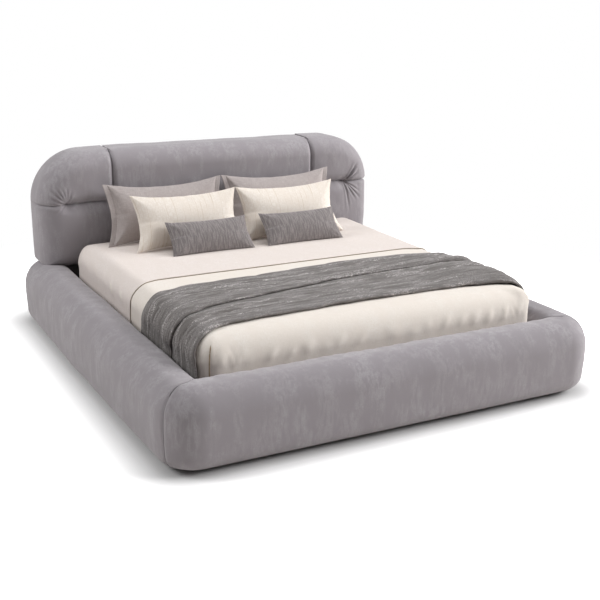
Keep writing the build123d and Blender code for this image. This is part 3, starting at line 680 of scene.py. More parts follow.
def rolled_block(cells, outline, thickness, front, back, pocket=None, rim=0.0, rimmed=None):
    """A block with an outline, rolled from its front over its side to its back.

    The grid is finer towards the edges. Each point of a cube's skin has a place t round the outline and
    a ring m from 0 in the middle to 1 at the edge. Rings near the edge follow the quarter circle of the
    front roll, half of it on the front and half on the side; the side runs back to the back roll. With a
    pocket the back has a rim only where rimmed says so: past the back roll it runs the rim's width
    inwards, square to the outline, falls to the pocket's depth and lies level to the middle. Gives plane
    points, depths, the block's depth at each point, which points are on its back, and faces."""
    cube, faces = cube_grid(*cells)
    a, b, c = crowded(cube.T, block_crowding)
    m = np.maximum(np.abs(a), np.abs(c))
    safe = np.maximum(m, 1e-9)
    ua, uc = a / safe, c / safe
    sides = [uc <= -1 + 1e-9, ua >= 1 - 1e-9, uc >= 1 - 1e-9]
    t = np.select(sides, [(ua + 1) / 2, 1 + (uc + 1) / 2, 2 + (1 - ua) / 2], 3 + (1 - uc) / 2)
    edge, normal = read_outline(outline, t)
    middle = (outline[1].min(axis=0) + outline[1].max(axis=0)) / 2
    reach = ((edge - middle) * normal).sum(axis=1)
    has_rim = rimmed(t) if rimmed else np.ones(len(t))
    whole = thickness if pocket is None else pocket + (thickness - pocket) * has_rim
    heel = back * has_rim
    from_edge = (1 - m) * reach
    in_roll = from_edge < front
    turn = np.clip(1 - from_edge / front, 0, 1) * np.pi / 4
    inset = np.where(in_roll, front * (1 - np.sin(turn)), from_edge)
    depth = np.where(in_roll, front * (1 - np.cos(turn)), 0)
    f = (b + 1) / 2
    on_side = (m >= 1 - 1e-9) & (f > 0)
    turn = np.pi / 4 + np.clip(f / roll_share, 0, 1) * np.pi / 4
    side_inset = front * (1 - np.sin(turn))
    down = np.clip((f - roll_share) / (1 - 2 * roll_share), 0, 1)
    side_depth = front * (1 - np.cos(turn)) + down * (whole - heel - front)
    turn = np.clip((f - 1 + roll_share) / roll_share, 0, 1) * np.pi / 4
    inset = np.where(on_side, side_inset + heel * (1 - np.cos(turn)), inset)
    depth = np.where(on_side, side_depth + heel * np.sin(turn), depth)
    on_back = (f >= 1 - 1e-9) & (m < 1 - 1e-9)
    turn = np.pi / 4 + np.clip((1 - m) / (1 - heel_ring), 0, 1) * np.pi / 4
    back_inset = heel * (1 - np.cos(turn))
    back_depth = whole - heel + heel * np.sin(turn)
    if pocket is None:
        back_inset = back_inset + np.clip(1 - m / heel_ring, 0, 1) * (reach - heel)
    inset = np.where(on_back, back_inset, inset)
    plane = middle + (1 - inset / reach)[:, None] * (edge - middle)
    if pocket is not None:
        on_rim = np.clip((heel_ring - m) / (heel_ring - rim_ring), 0, 1)
        in_pocket = np.clip((rim_ring - m) / (rim_ring - floor_ring), 0, 1)
        back_inset = back_inset + on_rim * (rim - heel) * has_rim
        back_depth = back_depth + in_pocket * (pocket - whole)
        square = read_outline(outline, np.where(t > 2, np.clip(t, 2.015, 2.985), t))[1]
        inner = edge - square * back_inset[:, None]
        outer_high, foot_low = outline[1][:, 0].max() - back_inset, outline[1][:, 1].min() + back_inset
        inner[:, 0] = np.where(t < 2, np.minimum(inner[:, 0], outer_high), inner[:, 0])
        inner[:, 1] = np.where(t < 2, np.maximum(inner[:, 1], foot_low), inner[:, 1])
        inner = inner + np.clip(1 - m / floor_ring, 0, 1)[:, None] * (middle - inner)
        plane = np.where(on_back[:, None], inner, plane)
    depth = np.where(on_back, back_depth, depth)
    return plane, depth, whole, on_back, faces


def roll_depth(distance, radius):
    """How far back a quarter-circle roll of that radius lies at a distance from its edge."""
    share = np.clip(distance / radius, 0, 1)
    return radius * (1 - np.sqrt(1 - (1 - share) ** 2))


def wider_roll(distance, radius, tight=tight_roll):
    """What a roll of that radius adds to the block's own tight one."""
    return roll_depth(distance, radius) - roll_depth(distance, tight)


def fall_back(depth, whole, extra, tight=tight_roll):
    """Depths with a roll's extra fall, which fades along the block's side from its roll to its back."""
    return depth + extra * (1 - np.clip((depth - tight) / (whole - tight), 0, 1))


def round_corner_distance(from_side, from_end, radius):
    """Distance to the edge near a round corner, and the share of it that faces the end.

    The share passes from 0 to 1 round a corner of at least 0.16 m, so that two rolls blend softly."""
    over_side, over_end = np.maximum(radius - from_side, 0), np.maximum(radius - from_end, 0)
    inside = np.where((over_side > 0) | (over_end > 0), 0, np.minimum(from_side, from_end) - radius)
    distance = radius - np.hypot(over_side, over_end) + inside
    broad = max(radius, 0.16)
    over_side, over_end = np.maximum(broad - from_side, 0), np.maximum(broad - from_end, 0)
    return distance, over_end**2 / (over_side**2 + over_end**2 + 1e-12)


def cusp(distance, width):
    """A sewn-in crease: 1 in its line, falling to 0 at the width with a sharp valley."""
    return np.clip(1 - np.abs(distance) / width, 0, 1) ** 2


# Headboard


wing_low, wing_high = box_of("headboard_right_wing_cover")
centre_low, centre_high = box_of("headboard_centre_cover")


def panel_block(cells, low, high, corners, pocket, rim_from):
    """A panel of the headboard as a rolled block, hollow behind, with a rim round from that t to the seam."""
    outline = rounded_outline((low[0], high[0]), (low[2], high[2]), corners)
    thickness = high[1] - low[1]
    return rolled_block(
        cells,
        outline,
        thickness,
        tight_roll,
        back_roll,
        pocket,
        back_rim,
        lambda t: ((t > rim_from) & (t < 3)).astype(float),
    )


def open_seam(z, top):
    """How far a seam between two panels lies open at a height: less near their top."""
    return 1 - 0.6 * smooth(z, top - 0.06, top - 0.01)


def pleats(x, z, tuft, fan):
    """Folds that leave a tuft: for each a valley along its line with a ridge on both sides.

    A fold has a heading in degrees, a length, a depth, and a bend to one side along its way."""
    amount = np.zeros(len(x))
    for heading, length, depth, bend in fan:
        angle = np.radians(heading)
        along = (x - tuft[0]) * np.cos(angle) + (z - tuft[1]) * np.sin(angle)
        aside = -(x - tuft[0]) * np.sin(angle) + (z - tuft[1]) * np.cos(angle)
        aside = aside - bend * np.clip(along, 0, None) ** 2 / length
        share = along / length
        swell = smooth(share, 0.02, 0.16) * (1 - smooth(share, 0.4, 1.0))
        width = 0.0030 + 0.0075 * np.clip(share, 0, 1)
        ridges = bell(np.abs(aside) - 2.1 * width, 1.3 * width)
        amount += swell * depth * (0.6 * ridges - bell(aside, width))
    return amount


def wing_piece(name, side, fan, tuft_place, outer_seam, rise, side_roll, seed):
    """A wing: a rolled block with a channel sewn across it to a tuft.

    The front falls back towards each edge by the roll there: broad at the top, the outside and the
    foot, and round into the seam to the centre panel. The outside is drawn in at the foot and at the
    shoulder, and the top falls outwards. The two lobes above and below the channel swell, the channel
    is deep from the tuft inwards and shallow outwards, and folds fan out."""
    low, high = wing_low - (0, 0, wing_foot_sink), wing_high + (0, 0, wing_top_rise)
    corners = (seam_foot_corner, wing_foot_corner, wing_top_corner, seam_top_corner)
    plane, depth, whole, on_back, faces = panel_block((168, 14, 228), low, high, corners, pocket_depth, 0.5)
    x, z = plane.T
    from_side, from_seam = wing_high[0] - x, x - wing_low[0]
    to_top, top_share = round_corner_distance(from_side, high[2] - z, wing_top_corner)
    to_foot, foot_share = round_corner_distance(from_side, z - wing_low[2] + wing_foot_sink, wing_foot_corner)
    back_by = np.maximum(
        wider_roll(to_top, side_roll + (top_roll - side_roll) * top_share),
        wider_roll(to_foot, side_roll + (foot_roll - side_roll) * foot_share),
    )
    seam_back = wider_roll(from_seam, seam_roll) * open_seam(z, wing_high[2])
    rolled = fall_back(depth, whole, (back_by + seam_back + wing_setback) * ~on_back)
    outer_share = (x - wing_low[0]) / (wing_high[0] - wing_low[0])
    high_share = (z - wing_low[2]) / (wing_high[2] - wing_low[2])
    below = np.clip((wing_belly - z) / (wing_belly - wing_low[2]), 0, 1)
    above = np.clip((z - wing_belly) / (wing_high[2] - wing_belly), 0, 1)
    draw = wing_foot_draw * below**2 + wing_shoulder_draw * above**2
    z = z - (wing_top_fall * (x / wing_high[0]) ** 2 - rise) * high_share
    x = x - draw * outer_share**2
    points = np.stack([x, wing_low[1] + rolled, z], axis=1)
    normals = normals_of(points, faces)
    tuft = (tuft_place, wing_seam_height)
    forward = 1 - smooth(depth, 0.02, 0.2)
    seam_line = wing_seam_height + 0.007 * np.sin((x - seam_place) / 0.28 * np.pi) * (x < tuft_place)
    from_line = z - seam_line
    inner = 1 - smooth(x, tuft_place - 0.03, tuft_place + 0.05)
    lip = np.where(from_line > 0, *wing_lips)
    crease = (0.026 * cusp(from_line, lip) + 0.012 * cusp(from_line, 0.012)) * inner
    crease = crease + outer_seam * (cusp(from_line, 0.024) + 0.8 * cusp(from_line, 0.008)) * (1 - inner)
    dimple = 0.024 * cusp(np.hypot(x - tuft[0], (z - tuft[1]) * 1.15), 0.075)
    lobes = np.where(from_line > 0, from_line / wing_lobes[0], -from_line / wing_lobes[1])
    puff = 0.014 * np.sin(np.clip(lobes, 0, 1) * np.pi) * np.sin(np.clip(outer_share, 0, 1) * np.pi)
    soft = 0.0018 * ripple(points, 0.30, seed) + 0.0009 * ripple(points, 0.11, seed + 1)
    amount = forward * (puff - crease - dimple + pleats(x, z, tuft, fan)) + soft
    amount = amount * smooth(x, wing_low[0] + 0.002, wing_low[0] + 0.03) * ~on_back * (depth < 0.24)
    points = points + normals * amount[:, None]
    if side < 0:
        points[:, 0] *= -1
    velvet_piece(name, "headboard_" + name, points, faces)


# Folds of each tuft: heading from the outside going up, length, depth, bend
left_fan = (
    (22, 0.13, 0.0045, 0.1),
    (44, 0.15, 0.0070, 0.05),
    (60, 0.15, 0.0080, 0.0),
    (76, 0.14, 0.0080, -0.05),
    (92, 0.13, 0.0070, -0.1),
    (108, 0.11, 0.0050, -0.1),
    (-36, 0.11, 0.0030, 0.0),
)
right_fan = (
    (49, 0.17, 0.0120, 0.10),
    (24, 0.15, 0.0060, 0.2),
    (-30, 0.16, 0.0070, -0.1),
    (-43, 0.20, 0.0095, -0.05),
    (-56, 0.18, 0.0060, 0.0),
    (-80, 0.24, 0.0040, 0.0),
)
wing_piece("left_wing", -1, left_fan, 1.000, 0.008, 0.0, 0.135, 50)
wing_piece("right_wing", 1, right_fan, 0.968, 0.014, -0.004, 0.080, 60)


def centre_piece():
    """The panel between the wings: a rolled block, broad at the top, round into its two seams."""
    corners = (seam_foot_corner, seam_foot_corner, seam_top_corner, seam_top_corner)
    pocket = pocket_depth - centre_setback
    plane, depth, whole, on_back, faces = panel_block(
        (170, 20, 120), centre_low, centre_high, corners, pocket, 2
    )
    x, z = plane.T
    from_seam = centre_high[0] - np.abs(x)
    seam_back = wider_roll(from_seam, seam_roll) * open_seam(z, centre_high[2])
    back_by = wider_roll(centre_high[2] - z, top_roll) + seam_back
    rolled = fall_back(depth, whole, back_by * ~on_back)
    z = z - 0.005 * x / centre_high[0] * smooth(z, centre_low[2] + 0.1, centre_high[2])
    points = np.stack([x, centre_low[1] + rolled, z], axis=1)
    normals = normals_of(points, faces)
    share = np.clip(1 - (x / centre_high[0]) ** 2, 0, 1)
    puff = 0.006 * share * (1 - smooth(depth, 0.02, 0.12)) * smooth(z, centre_low[2], centre_low[2] + 0.2)
    soft = 0.0018 * ripple(points, 0.35, 70) + 0.0008 * ripple(points, 0.12, 71)
    amount = (puff + soft) * smooth(from_seam, 0.004, 0.05) * ~on_back
    points = points + normals * amount[:, None]
    velvet_piece("centre", "headboard_centre", points, faces)


centre_piece()


def back_piece():
    """The padded cloth on the back of the headboard, inside the rim of the three panels."""
    pad_low = box_of("headboard_back_pad")[0]
    low, high = box_of("headboard_back_cover")
    outline = rounded_outline((low[0], high[0]), (low[2], high[2]), back_corners)
    thickness = high[1] - pad_low[1]
    plane, depth, _, _, faces = rolled_block((100, 6, 60), outline, thickness, 0.010, 0.003)
    points = np.stack([plane[:, 0], high[1] - depth, plane[:, 1]], axis=1)
    points[:, 1] += 0.0008 * ripple(points, 0.4, 80) * (depth < 0.01)
    velvet_piece("back", "headboard_back", points, faces)


back_piece()


# Mattress and sheets


core_low, core_high = box_of("mattress_core")
core_middle = (core_low + core_high) / 2


def edge_gaps(x, y):
    """Distances inwards from the mattress's nearer side and from its nearer end."""
    return core_high[0] - np.abs(x), np.minimum(core_high[1] - y, y - core_low[1])


def mattress_rim(x, y):
    """Distance inwards from the mattress's rounded outline, and the radius of its top roll there.

    Each corner has its own radius in plan, and each side its own roll; near a corner the roll passes
    from that of the one side to that of the other."""
    half = (core_high - core_low) / 2
    right, head = x > core_middle[0], y > core_middle[1]
    corner, roll = mattress_corners, mattress_rolls
    at_head = np.where(right, corner["head_right"], corner["head_left"])
    radius = np.where(head, at_head, np.where(right, corner["foot_right"], corner["foot_left"]))
    past_x = np.abs(x - core_middle[0]) - (half[0] - radius)
    past_y = np.abs(y - core_middle[1]) - (half[1] - radius)
    outside = np.hypot(np.maximum(past_x, 0), np.maximum(past_y, 0))
    distance = radius - outside - np.minimum(np.maximum(past_x, past_y), 0)
    to_side = smooth(past_x - past_y, -0.06, 0.06)
    side_radius = np.where(right, roll["right"], roll["left"])
    end_radius = np.where(head, roll["head"], roll["foot"])
    return distance, to_side * side_radius + (1 - to_side) * end_radius


def mattress_block(cells, grow):
    """The mattress block grown on every side, top side first: points and faces."""
    corner = mattress_corners
    outline = rounded_outline(
        (core_low[0] - grow, core_high[0] + grow),
        (core_low[1] - grow, core_high[1] + grow),
        [corner[k] + grow for k in ("foot_left", "foot_right", "head_right", "head_left")],
    )
    thickness = core_high[2] - core_low[2] + 2 * grow
    tight = mattress_tight_roll + grow
    plane, depth, whole, on_back, faces = rolled_block(cells, outline, thickness, tight, mattress_heel + grow)
    distance, radius = mattress_rim(*plane.T)
    extra = wider_roll(distance + grow, radius + grow, tight) * ~on_back
    depth = fall_back(depth, whole, extra, tight)
    return np.column_stack([plane, core_high[2] + grow - depth]), faces


def mattress_piece():
    """The sprung mattress: a crowned block in ticking, with a taped edge above and below."""
    points, faces = mattress_block((90, 24, 90), 0)
    normals = normals_of(points, faces)
    height = points[:, 2]
    tape = cusp(height - (core_high[2] - tape_below_top), 0.012)
    tape = tape + cusp(height - (core_low[2] + tape_above_foot), 0.010)
    across, along = points[:, :2].T / quilt_spacing * np.pi
    quilting = np.abs(np.sin(across) * np.sin(along))
    level = np.abs(normals[:, 2]) > 0.95
    amount = -0.003 + 0.0024 * tape * (np.abs(normals[:, 2]) < 0.75) + 0.0015 * quilting * level
    points = points + normals * amount[:, None]
    flat = np.stack([points[:, 0], points[:, 1] + points[:, 2]], axis=1)
    padded_piece(
        "mattress_ticking", points, faces, ticking, "mattress", ("mattress_core",), flat
    )


mattress_piece()


def bed_wrinkles(points, normals):
    """Soft unevenness of the made bed, never inwards, the same for every layer that lies on it."""
    level = smooth(normals[:, 2], 0.4, 0.95)
    broad = 0.5 + 0.5 * ripple(points[:, :2] * (0.6, 1.0), 0.45, 90)
    fine = 0.5 + 0.5 * ripple(points[:, :2] * (0.5, 1.0), 0.17, 91)
    return level * (0.0014 * np.clip(broad, 0, 1) + 0.0007 * np.clip(fine, 0, 1))


def corner_pleats(points, normals):
    """Small upright folds where the sheet gathers: close together beside the corners, and soft broad
    ones that lean along the hem. Down in the well they stay within the gap to the rails."""
    x, y, z = points.T
    upright = 1 - smooth(normals[:, 2], 0.25, 0.8)
    to_side, to_end = edge_gaps(x, y)
    faces_side = np.abs(normals[:, 0]) > np.abs(normals[:, 1])
    off_corner, along = np.where(faces_side, (to_end, y), (to_side, x))
    near = bell(off_corner - pleat_from_corner, 0.06)
    phase = 3.0 * ripple(points * (1, 1, 0.3), 0.12, 92)
    folds = np.clip(np.sin((along + 0.15 * z) / pleat_spacing * 2 * np.pi + phase), 0, 1)
    low_part = 1 - smooth(z, core_low[2] + 0.16, core_high[2] - 0.006)
    slanted = np.stack([x - 0.5 * z, y - 0.5 * z, 0.3 * z], axis=1)
    broad = ripple(slanted, 0.075, 93)
    in_well = 1 - 0.7 * smooth(-z, -core_low[2] - 0.15, -core_low[2] - 0.11)
    return upright * low_part * in_well * (0.0024 * folds * near + 0.0065 * np.clip(broad, -0.1, 1))


def foot_corner(side):
    """Centre in plan and radius of a foot corner of the mattress; side is -1 for the left."""
    radius = mattress_corners["foot_left" if side < 0 else "foot_right"]
    return np.array([side * (core_high[0] - radius), core_low[1] + radius]), radius


def dart_distance(points, side, angle):
    """Distance round the foot corner from an upright line at that angle from the foot face."""
    centre, radius = foot_corner(side)
    across = side * (points[:, 0] - centre[0])
    down = centre[1] - points[:, 1]
    beyond = (across > 0) & (down > 0)
    return np.where(beyond, (np.arctan2(across, down) - angle) * radius, 1.0)


def tube(path, radius, sides=8):
    """A closed round tube along a path: rings square to the path, drawn to a point at both ends."""
    ahead = np.gradient(path, axis=0)
    ahead /= np.linalg.norm(ahead, axis=1, keepdims=True)
    helper = np.where(np.abs(ahead[:, 2:3]) < 0.9, [[0.0, 0.0, 1.0]], [[1.0, 0.0, 0.0]])
    first = np.cross(ahead, helper)
    first /= np.linalg.norm(first, axis=1, keepdims=True)
    second = np.cross(ahead, first)
    spin = np.linspace(0, 2 * np.pi, sides, endpoint=False)
    width = radius * smooth(np.minimum(np.arange(len(path)), len(path) - 1 - np.arange(len(path))), 0, 3)
    ring = np.cos(spin)[:, None] * first[:, None] + np.sin(spin)[:, None] * second[:, None]
    points = (path[:, None] + width[:, None, None] * ring).reshape(-1, 3)
    return weld(points, grid_faces(len(path), sides, closed=True))


def tape_and_painted_shadow_line(name, path, radius, flat_axes):
    """A brown line along a path on the mattress's linen: painted shade along a dart's crease, and at the top
    sheet's hem its tape with the painted contact shadow under the hem.
    """
    points, faces = tube(path, radius)
    return make_piece(name, points, faces, tape_and_painted_shadow, "mattress", (), points[:, flat_axes])


def sheet_flat(points):
    """Place on the flat cloth: the plan place, the drop added outwards where the cloth hangs."""
    x, y, z = points.T
    drop = core_high[2] - z
    to_side, to_end = edge_gaps(x, y)
    on_side = to_side < to_end
    across = x + np.sign(x) * drop * on_side
    along = y + np.sign(y - core_middle[1]) * drop * ~on_side
    return np.stack([across, along], axis=1)


def keep_faces(points, faces, kept):
    """Only the faces that the mask keeps, with their points."""
    used, packed = np.unique(faces[kept], return_inverse=True)
    return points[used], packed.reshape(-1, 4)


def wall(thing, thickness):
    """Gives a cloth its thickness, outwards from the side that it lies on."""
    layer = thing.modifiers.new("cloth", "SOLIDIFY")
    layer.thickness = thickness
    layer.offset = 1.0


# Darts: their side and angle round the foot corner, how far they stand off, where they start below the top
dart_angles = ((-1, 0.64), (1, 1.22))
dart_lift = 0.0044
dart_start = 0.034
sheet_hem = 0.15


def fitted_sheet():
    """The elastic-edged sheet round the whole mattress, open underneath inside its hem.

    At the foot corners a dart takes up the cloth: a sunk line, with a swell beside it at its top, and a brown
    line along it that is painted shade of the crease."""
    top, height = core_high[2], core_high[2] - core_low[2]
    points, faces = mattress_block((140, 28, 140), fitted_lift)
    normals = normals_of(points, faces)
    x, y, z = points.T
    open_below = (np.minimum(*edge_gaps(x, y)) > sheet_hem) & (z < core_low[2] + 0.01)
    amount = bed_wrinkles(points, normals) + corner_pleats(points, normals)
    for side, angle in dart_angles:
        off = dart_distance(points, side, angle)
        swell = bell(off + 0.012, 0.010) * bell(z - top + 0.055, 0.03)
        low_part = smooth(z, top - 0.025, top - 0.055)
        amount = amount + 0.0050 * swell - 0.0010 * bell(off, 0.004) * low_part
    points = points + normals * amount[:, None]
    points, faces = keep_faces(points, faces, ~open_below[faces].all(axis=1))
    stands_for, flat_map = ("fitted_sheet",), sheet_flat(points)
    thing = make_piece(
        "fitted_sheet_cloth", points, faces, cream_sheet, "mattress", stands_for, flat_map
    )
    wall(thing, fitted_cloth)
    # Painted shade: a brown line along each dart's crease
    for side, angle in dart_angles:
        heading = np.array([side * np.sin(angle), -np.cos(angle)])
        centre, corner = foot_corner(side)
        roll = mattress_rim(*(centre + 0.9 * corner * heading)[:, None])[1][0] + dart_lift
        drop = np.linspace(dart_start, height - mattress_heel, 40)
        plan = centre + np.outer(corner + dart_lift - roll_depth(drop, roll), heading)
        path = np.column_stack([plan, top + dart_lift - drop])
        name = "fitted_sheet_dart_shadow_" + ("left" if side < 0 else "right")
        tape_and_painted_shadow_line(name, path, 0.0021, (1, 2))


fitted_sheet()


def section_over_bed(s, lift):
    """Across the bed at arc length s from the middle: level on top, round at the edge, down the side.

    Gives x and z there, a lift above the mattress."""
    radius = np.where(s < 0, mattress_rolls["left"], mattress_rolls["right"])
    edge_x = core_high[0] - radius
    turn = np.clip((np.abs(s) - edge_x) / radius, 0, np.pi / 2)
    down = np.maximum(np.abs(s) - edge_x - radius * np.pi / 2, 0)
    x = np.sign(s) * (np.minimum(np.abs(s), edge_x) + np.sin(turn) * (radius + lift))
    z = core_high[2] - radius + np.cos(turn) * (radius + lift) - down
    return x, z


def hem_line(x):
    """Where the top sheet ends towards the foot: nearly straight, nearer the foot at the sides."""
    return 0.004 * np.sin(x * 2.3 + 0.5) - 0.05 * smooth(np.abs(x), 0.78, 0.95)


def top_sheet():
    """The flat sheet over the head half, down to 300 mm at the sides, with a rolled hem at its edge.

    The hem is a ridge 9 mm from the edge, bound with brown tape; its dark line at the edge is also the
    painted contact shadow under the hem."""
    points, faces = mattress_block((180, 30, 320), top_lift)
    keep = (points[:, 1] > turn_down_place - 0.03) & (points[:, 2] > throw_drop_height)
    points, faces = keep_faces(points, faces, keep[faces].all(axis=1))
    normals = normals_of(points, faces)
    from_edge = np.maximum(points[:, 1] - turn_down_place, 0)
    points[:, 1] = np.maximum(points[:, 1], turn_down_place)
    points[:, 1] += hem_line(points[:, 0]) * (1 - smooth(from_edge, 0, 0.12))
    amount = bed_wrinkles(points, normals) + 0.5 * corner_pleats(points, normals)
    hem = 0.0060 * bell(from_edge - 0.009, 0.009) + 0.0014 * bell(from_edge - 0.045, 0.03)
    points, faces = weld(points + normals * (amount + hem)[:, None], faces)
    stands_for, flat_map = ("top_sheet",), sheet_flat(points)
    thing = make_piece(
        "top_sheet_cloth", points, faces, blush_sheet, "mattress", stands_for, flat_map
    )
    wall(thing, top_cloth)
    # The brown tape at the hem's edge also stands for the painted contact shadow under the rolled hem
    x, z = section_over_bed(np.linspace(-1.14, 1.14, 240), linen_lift)
    line = np.stack([x, turn_down_place - 0.001 + hem_line(x), z], axis=1)
    hem_tape_and_shadow = tape_and_painted_shadow_line("top_sheet_tape_and_shadow", line, 0.0013, (0, 1))


top_sheet()


# Throw


def line_over_bed(line, s):
    """Place along the bed of a measured line at each s, smoothed between its points."""
    places, values = np.array(line).T
    fine = np.linspace(-1.3, 1.3, 521)
    read = np.interp(fine, places, values)
    kernel = np.hanning(33)
    padded = np.pad(read, 16, mode="edge")
    return np.interp(s, fine, np.convolve(padded, kernel / kernel.sum(), mode="valid"))


def throw_piece():
    """The throw laid across the bed: its length runs over the sides, its width lies in long folds.

    Along the bed the cloth starts under its own foot edge, turns over it, runs to the deep fold,
    doubles back under it and out again, and runs on to the head edge. Between the deep fold and the
    edges it swells between sharp valleys. Each point is that profile's place along the bed and
    height, carried over the mattress section."""
    ends = []
    for side in ("left", "right"):
        radius = mattress_rolls[side]
        ends.append(core_high[0] + radius * (np.pi / 2 - 2) + core_high[2] - throw_drop_height)
    s = np.linspace(-ends[0], ends[1], throw_stations)[:, None]
    across = s / ends[0]
    foot_edge = line_over_bed(foot_edge_line, s) + 0.002 * np.sin(s * 31)
    head_edge = line_over_bed(head_edge_line, s) + 0.002 * np.sin(s * 27 + 1)
    fold = line_over_bed(deep_fold_line, s)
    overlap = 0.016 * (1 - 0.85 * smooth(across, 0.0, 0.45))
    turn = 0.0022 + 0.0016 * (1 - smooth(across, 0.0, 0.45))
    hem_turn, hem_start = 0.0038, 0.006
    angle = np.linspace(-np.pi / 2, np.pi / 2, 9)[None, :]
    # Turned under at the foot edge, and round it
    stretches = []
    under = foot_edge + np.linspace(0.05, hem_start, 6)[None, :]
    stretches.append((under, np.zeros_like(under)))
    hem_rise = hem_turn * (1 + np.sin(angle)) + 0 * s
    stretches.append((foot_edge + hem_start - 1.5 * hem_turn * np.cos(angle), hem_rise))
    # On to the deep fold's lip, and round that
    share = np.linspace(0, 1, 96)[None, 1:-1]
    start, stop = foot_edge + hem_start, fold + overlap
    run = start + (stop - start) * share
    stretches.append((run, 2 * hem_turn * (1 - smooth(run - start, 0.01, 0.08))))
    stretches.append((stop + turn * np.cos(angle), turn * (1 + np.sin(angle))))
    # Back under it, and out again
    share = np.linspace(0, 1, 9)[None, 1:-1]
    stretches.append((stop - 2 * overlap * share, 2 * turn + 0 * s * share))
    stretches.append((fold - overlap - 1.4 * turn * np.cos(angle), turn * (3 + np.sin(angle))))
    # On to the head edge
    share = np.linspace(0, 1, 110)[None, 1:]
    run = fold - overlap + (head_edge - fold + overlap) * share
    stretches.append((run, 4 * turn * (1 - smooth(run - fold + overlap, 0.03, 0.12))))
    y = np.hstack([part[0] for part in stretches])
    height = np.hstack([part[1] for part in stretches])
    s = np.broadcast_to(s, y.shape)
    across = s / ends[0]
    # Long swells between sharp valleys, lower where the throw is down in the well
    wander = 0.012 * np.sin(across * 3.7 + 0.4)
    valleys = [
        foot_edge - 0.004,
        foot_edge + 0.10 + 0.02 * np.sin(across[:, :1] * 2.9),
        foot_edge + (fold - foot_edge) * 0.62 + wander[:, :1],
        fold,
        fold + (head_edge - fold) * 0.34 - wander[:, :1],
        fold + (head_edge - fold) * 0.64 + 1.4 * wander[:, :1],
        head_edge + 0.004,
    ]
    rises = (0.0080, 0.0070, 0.0105, 0.0120, 0.0095, 0.0070)
    free = smooth(section_over_bed(s, 0)[1], *free_of_well)
    outwards = 0.75 + 0.65 * smooth(np.abs(across), 0.2, 0.7)
    for start, stop, rise in zip(valleys[:-1], valleys[1:], rises):
        share = np.clip((y - start) / (stop - start), 0, 1)
        fade = 0.75 + 0.25 * np.sin(across * 4.1 + 900 * rise)
        height = height + rise * fade * outwards * arch(share) ** 0.55
    # It stands off where it bridges the right edge, and fine folds run along it
    share = np.clip((y - foot_edge) / (head_edge - foot_edge), 0, 1)
    stands_off = smooth(across, 0.4, 0.72) * (1 - smooth(across, 0.84, 0.98))
    bridge = 0.018 * np.sqrt(arch(share)) + 0.020 * smooth(share, 0, 0.16) * (1 - smooth(share, 0.2, 0.7))
    height = height * (0.42 + 0.58 * free) + stands_off * bridge
    flat_points = np.stack([s.ravel(), y.ravel()], axis=1)
    long_folds = np.clip(np.abs(ripple(flat_points * (0.08, 1), 0.06, 101)) / 0.4, 0, 1) ** 0.7
    height = height + 0.0050 * long_folds.reshape(y.shape) * (0.3 + 0.7 * free) + 0.0006
    x, z = section_over_bed(s, linen_lift + height)
    points = np.stack([x, y, z], axis=-1).reshape(-1, 3)
    steps = np.cumsum(np.hypot(np.diff(y), np.diff(height)), axis=1)
    flat = np.stack([s, np.hstack([np.zeros((len(s), 1)), steps])], axis=-1).reshape(-1, 2)
    faces = grid_faces(*y.shape)
    thing = make_piece(
        "throw_cloth", points, faces, throw_weave, "throw", ("throw_blanket",), flat
    )
    wall(thing, throw_cloth)


throw_piece()


# Pillows


bed_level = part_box("top_sheet")[1].z + 0.0008


def filled(points, faces):
    """The sewn case as the filling rounds it out: a cloth simulation with pressure from inside.

    It runs ten times as large as life, at which Blender's cloth bends and swells well."""
    mesh = bpy.data.meshes.new("case")
    mesh.from_pydata(points * case_scale, [], faces.tolist())
    case = add_object("case", mesh)
    cloth = case.modifiers.new("filling", "CLOTH")
    settings = cloth.settings
    settings.quality = 6
    settings.mass = 0.3
    settings.tension_stiffness = settings.compression_stiffness = 15
    settings.shear_stiffness = 5
    settings.bending_stiffness = 0.5
    settings.use_pressure = True
    settings.uniform_pressure_force = 4
    settings.effector_weights.gravity = 0
    cloth.collision_settings.use_collision = False
    cloth.point_cache.frame_start = 1
    cloth.point_cache.frame_end = case_frames
    for step in range(1, case_frames + 1):
        bpy.context.scene.frame_set(step)
    shaped = case.evaluated_get(bpy.context.evaluated_depsgraph_get()).to_mesh()
    swollen = np.zeros(3 * len(shaped.vertices))
    shaped.vertices.foreach_get("co", swollen)
    bpy.context.scene.frame_set(1)
    bpy.data.objects.remove(case)
    return swollen.reshape(-1, 3) / case_scale


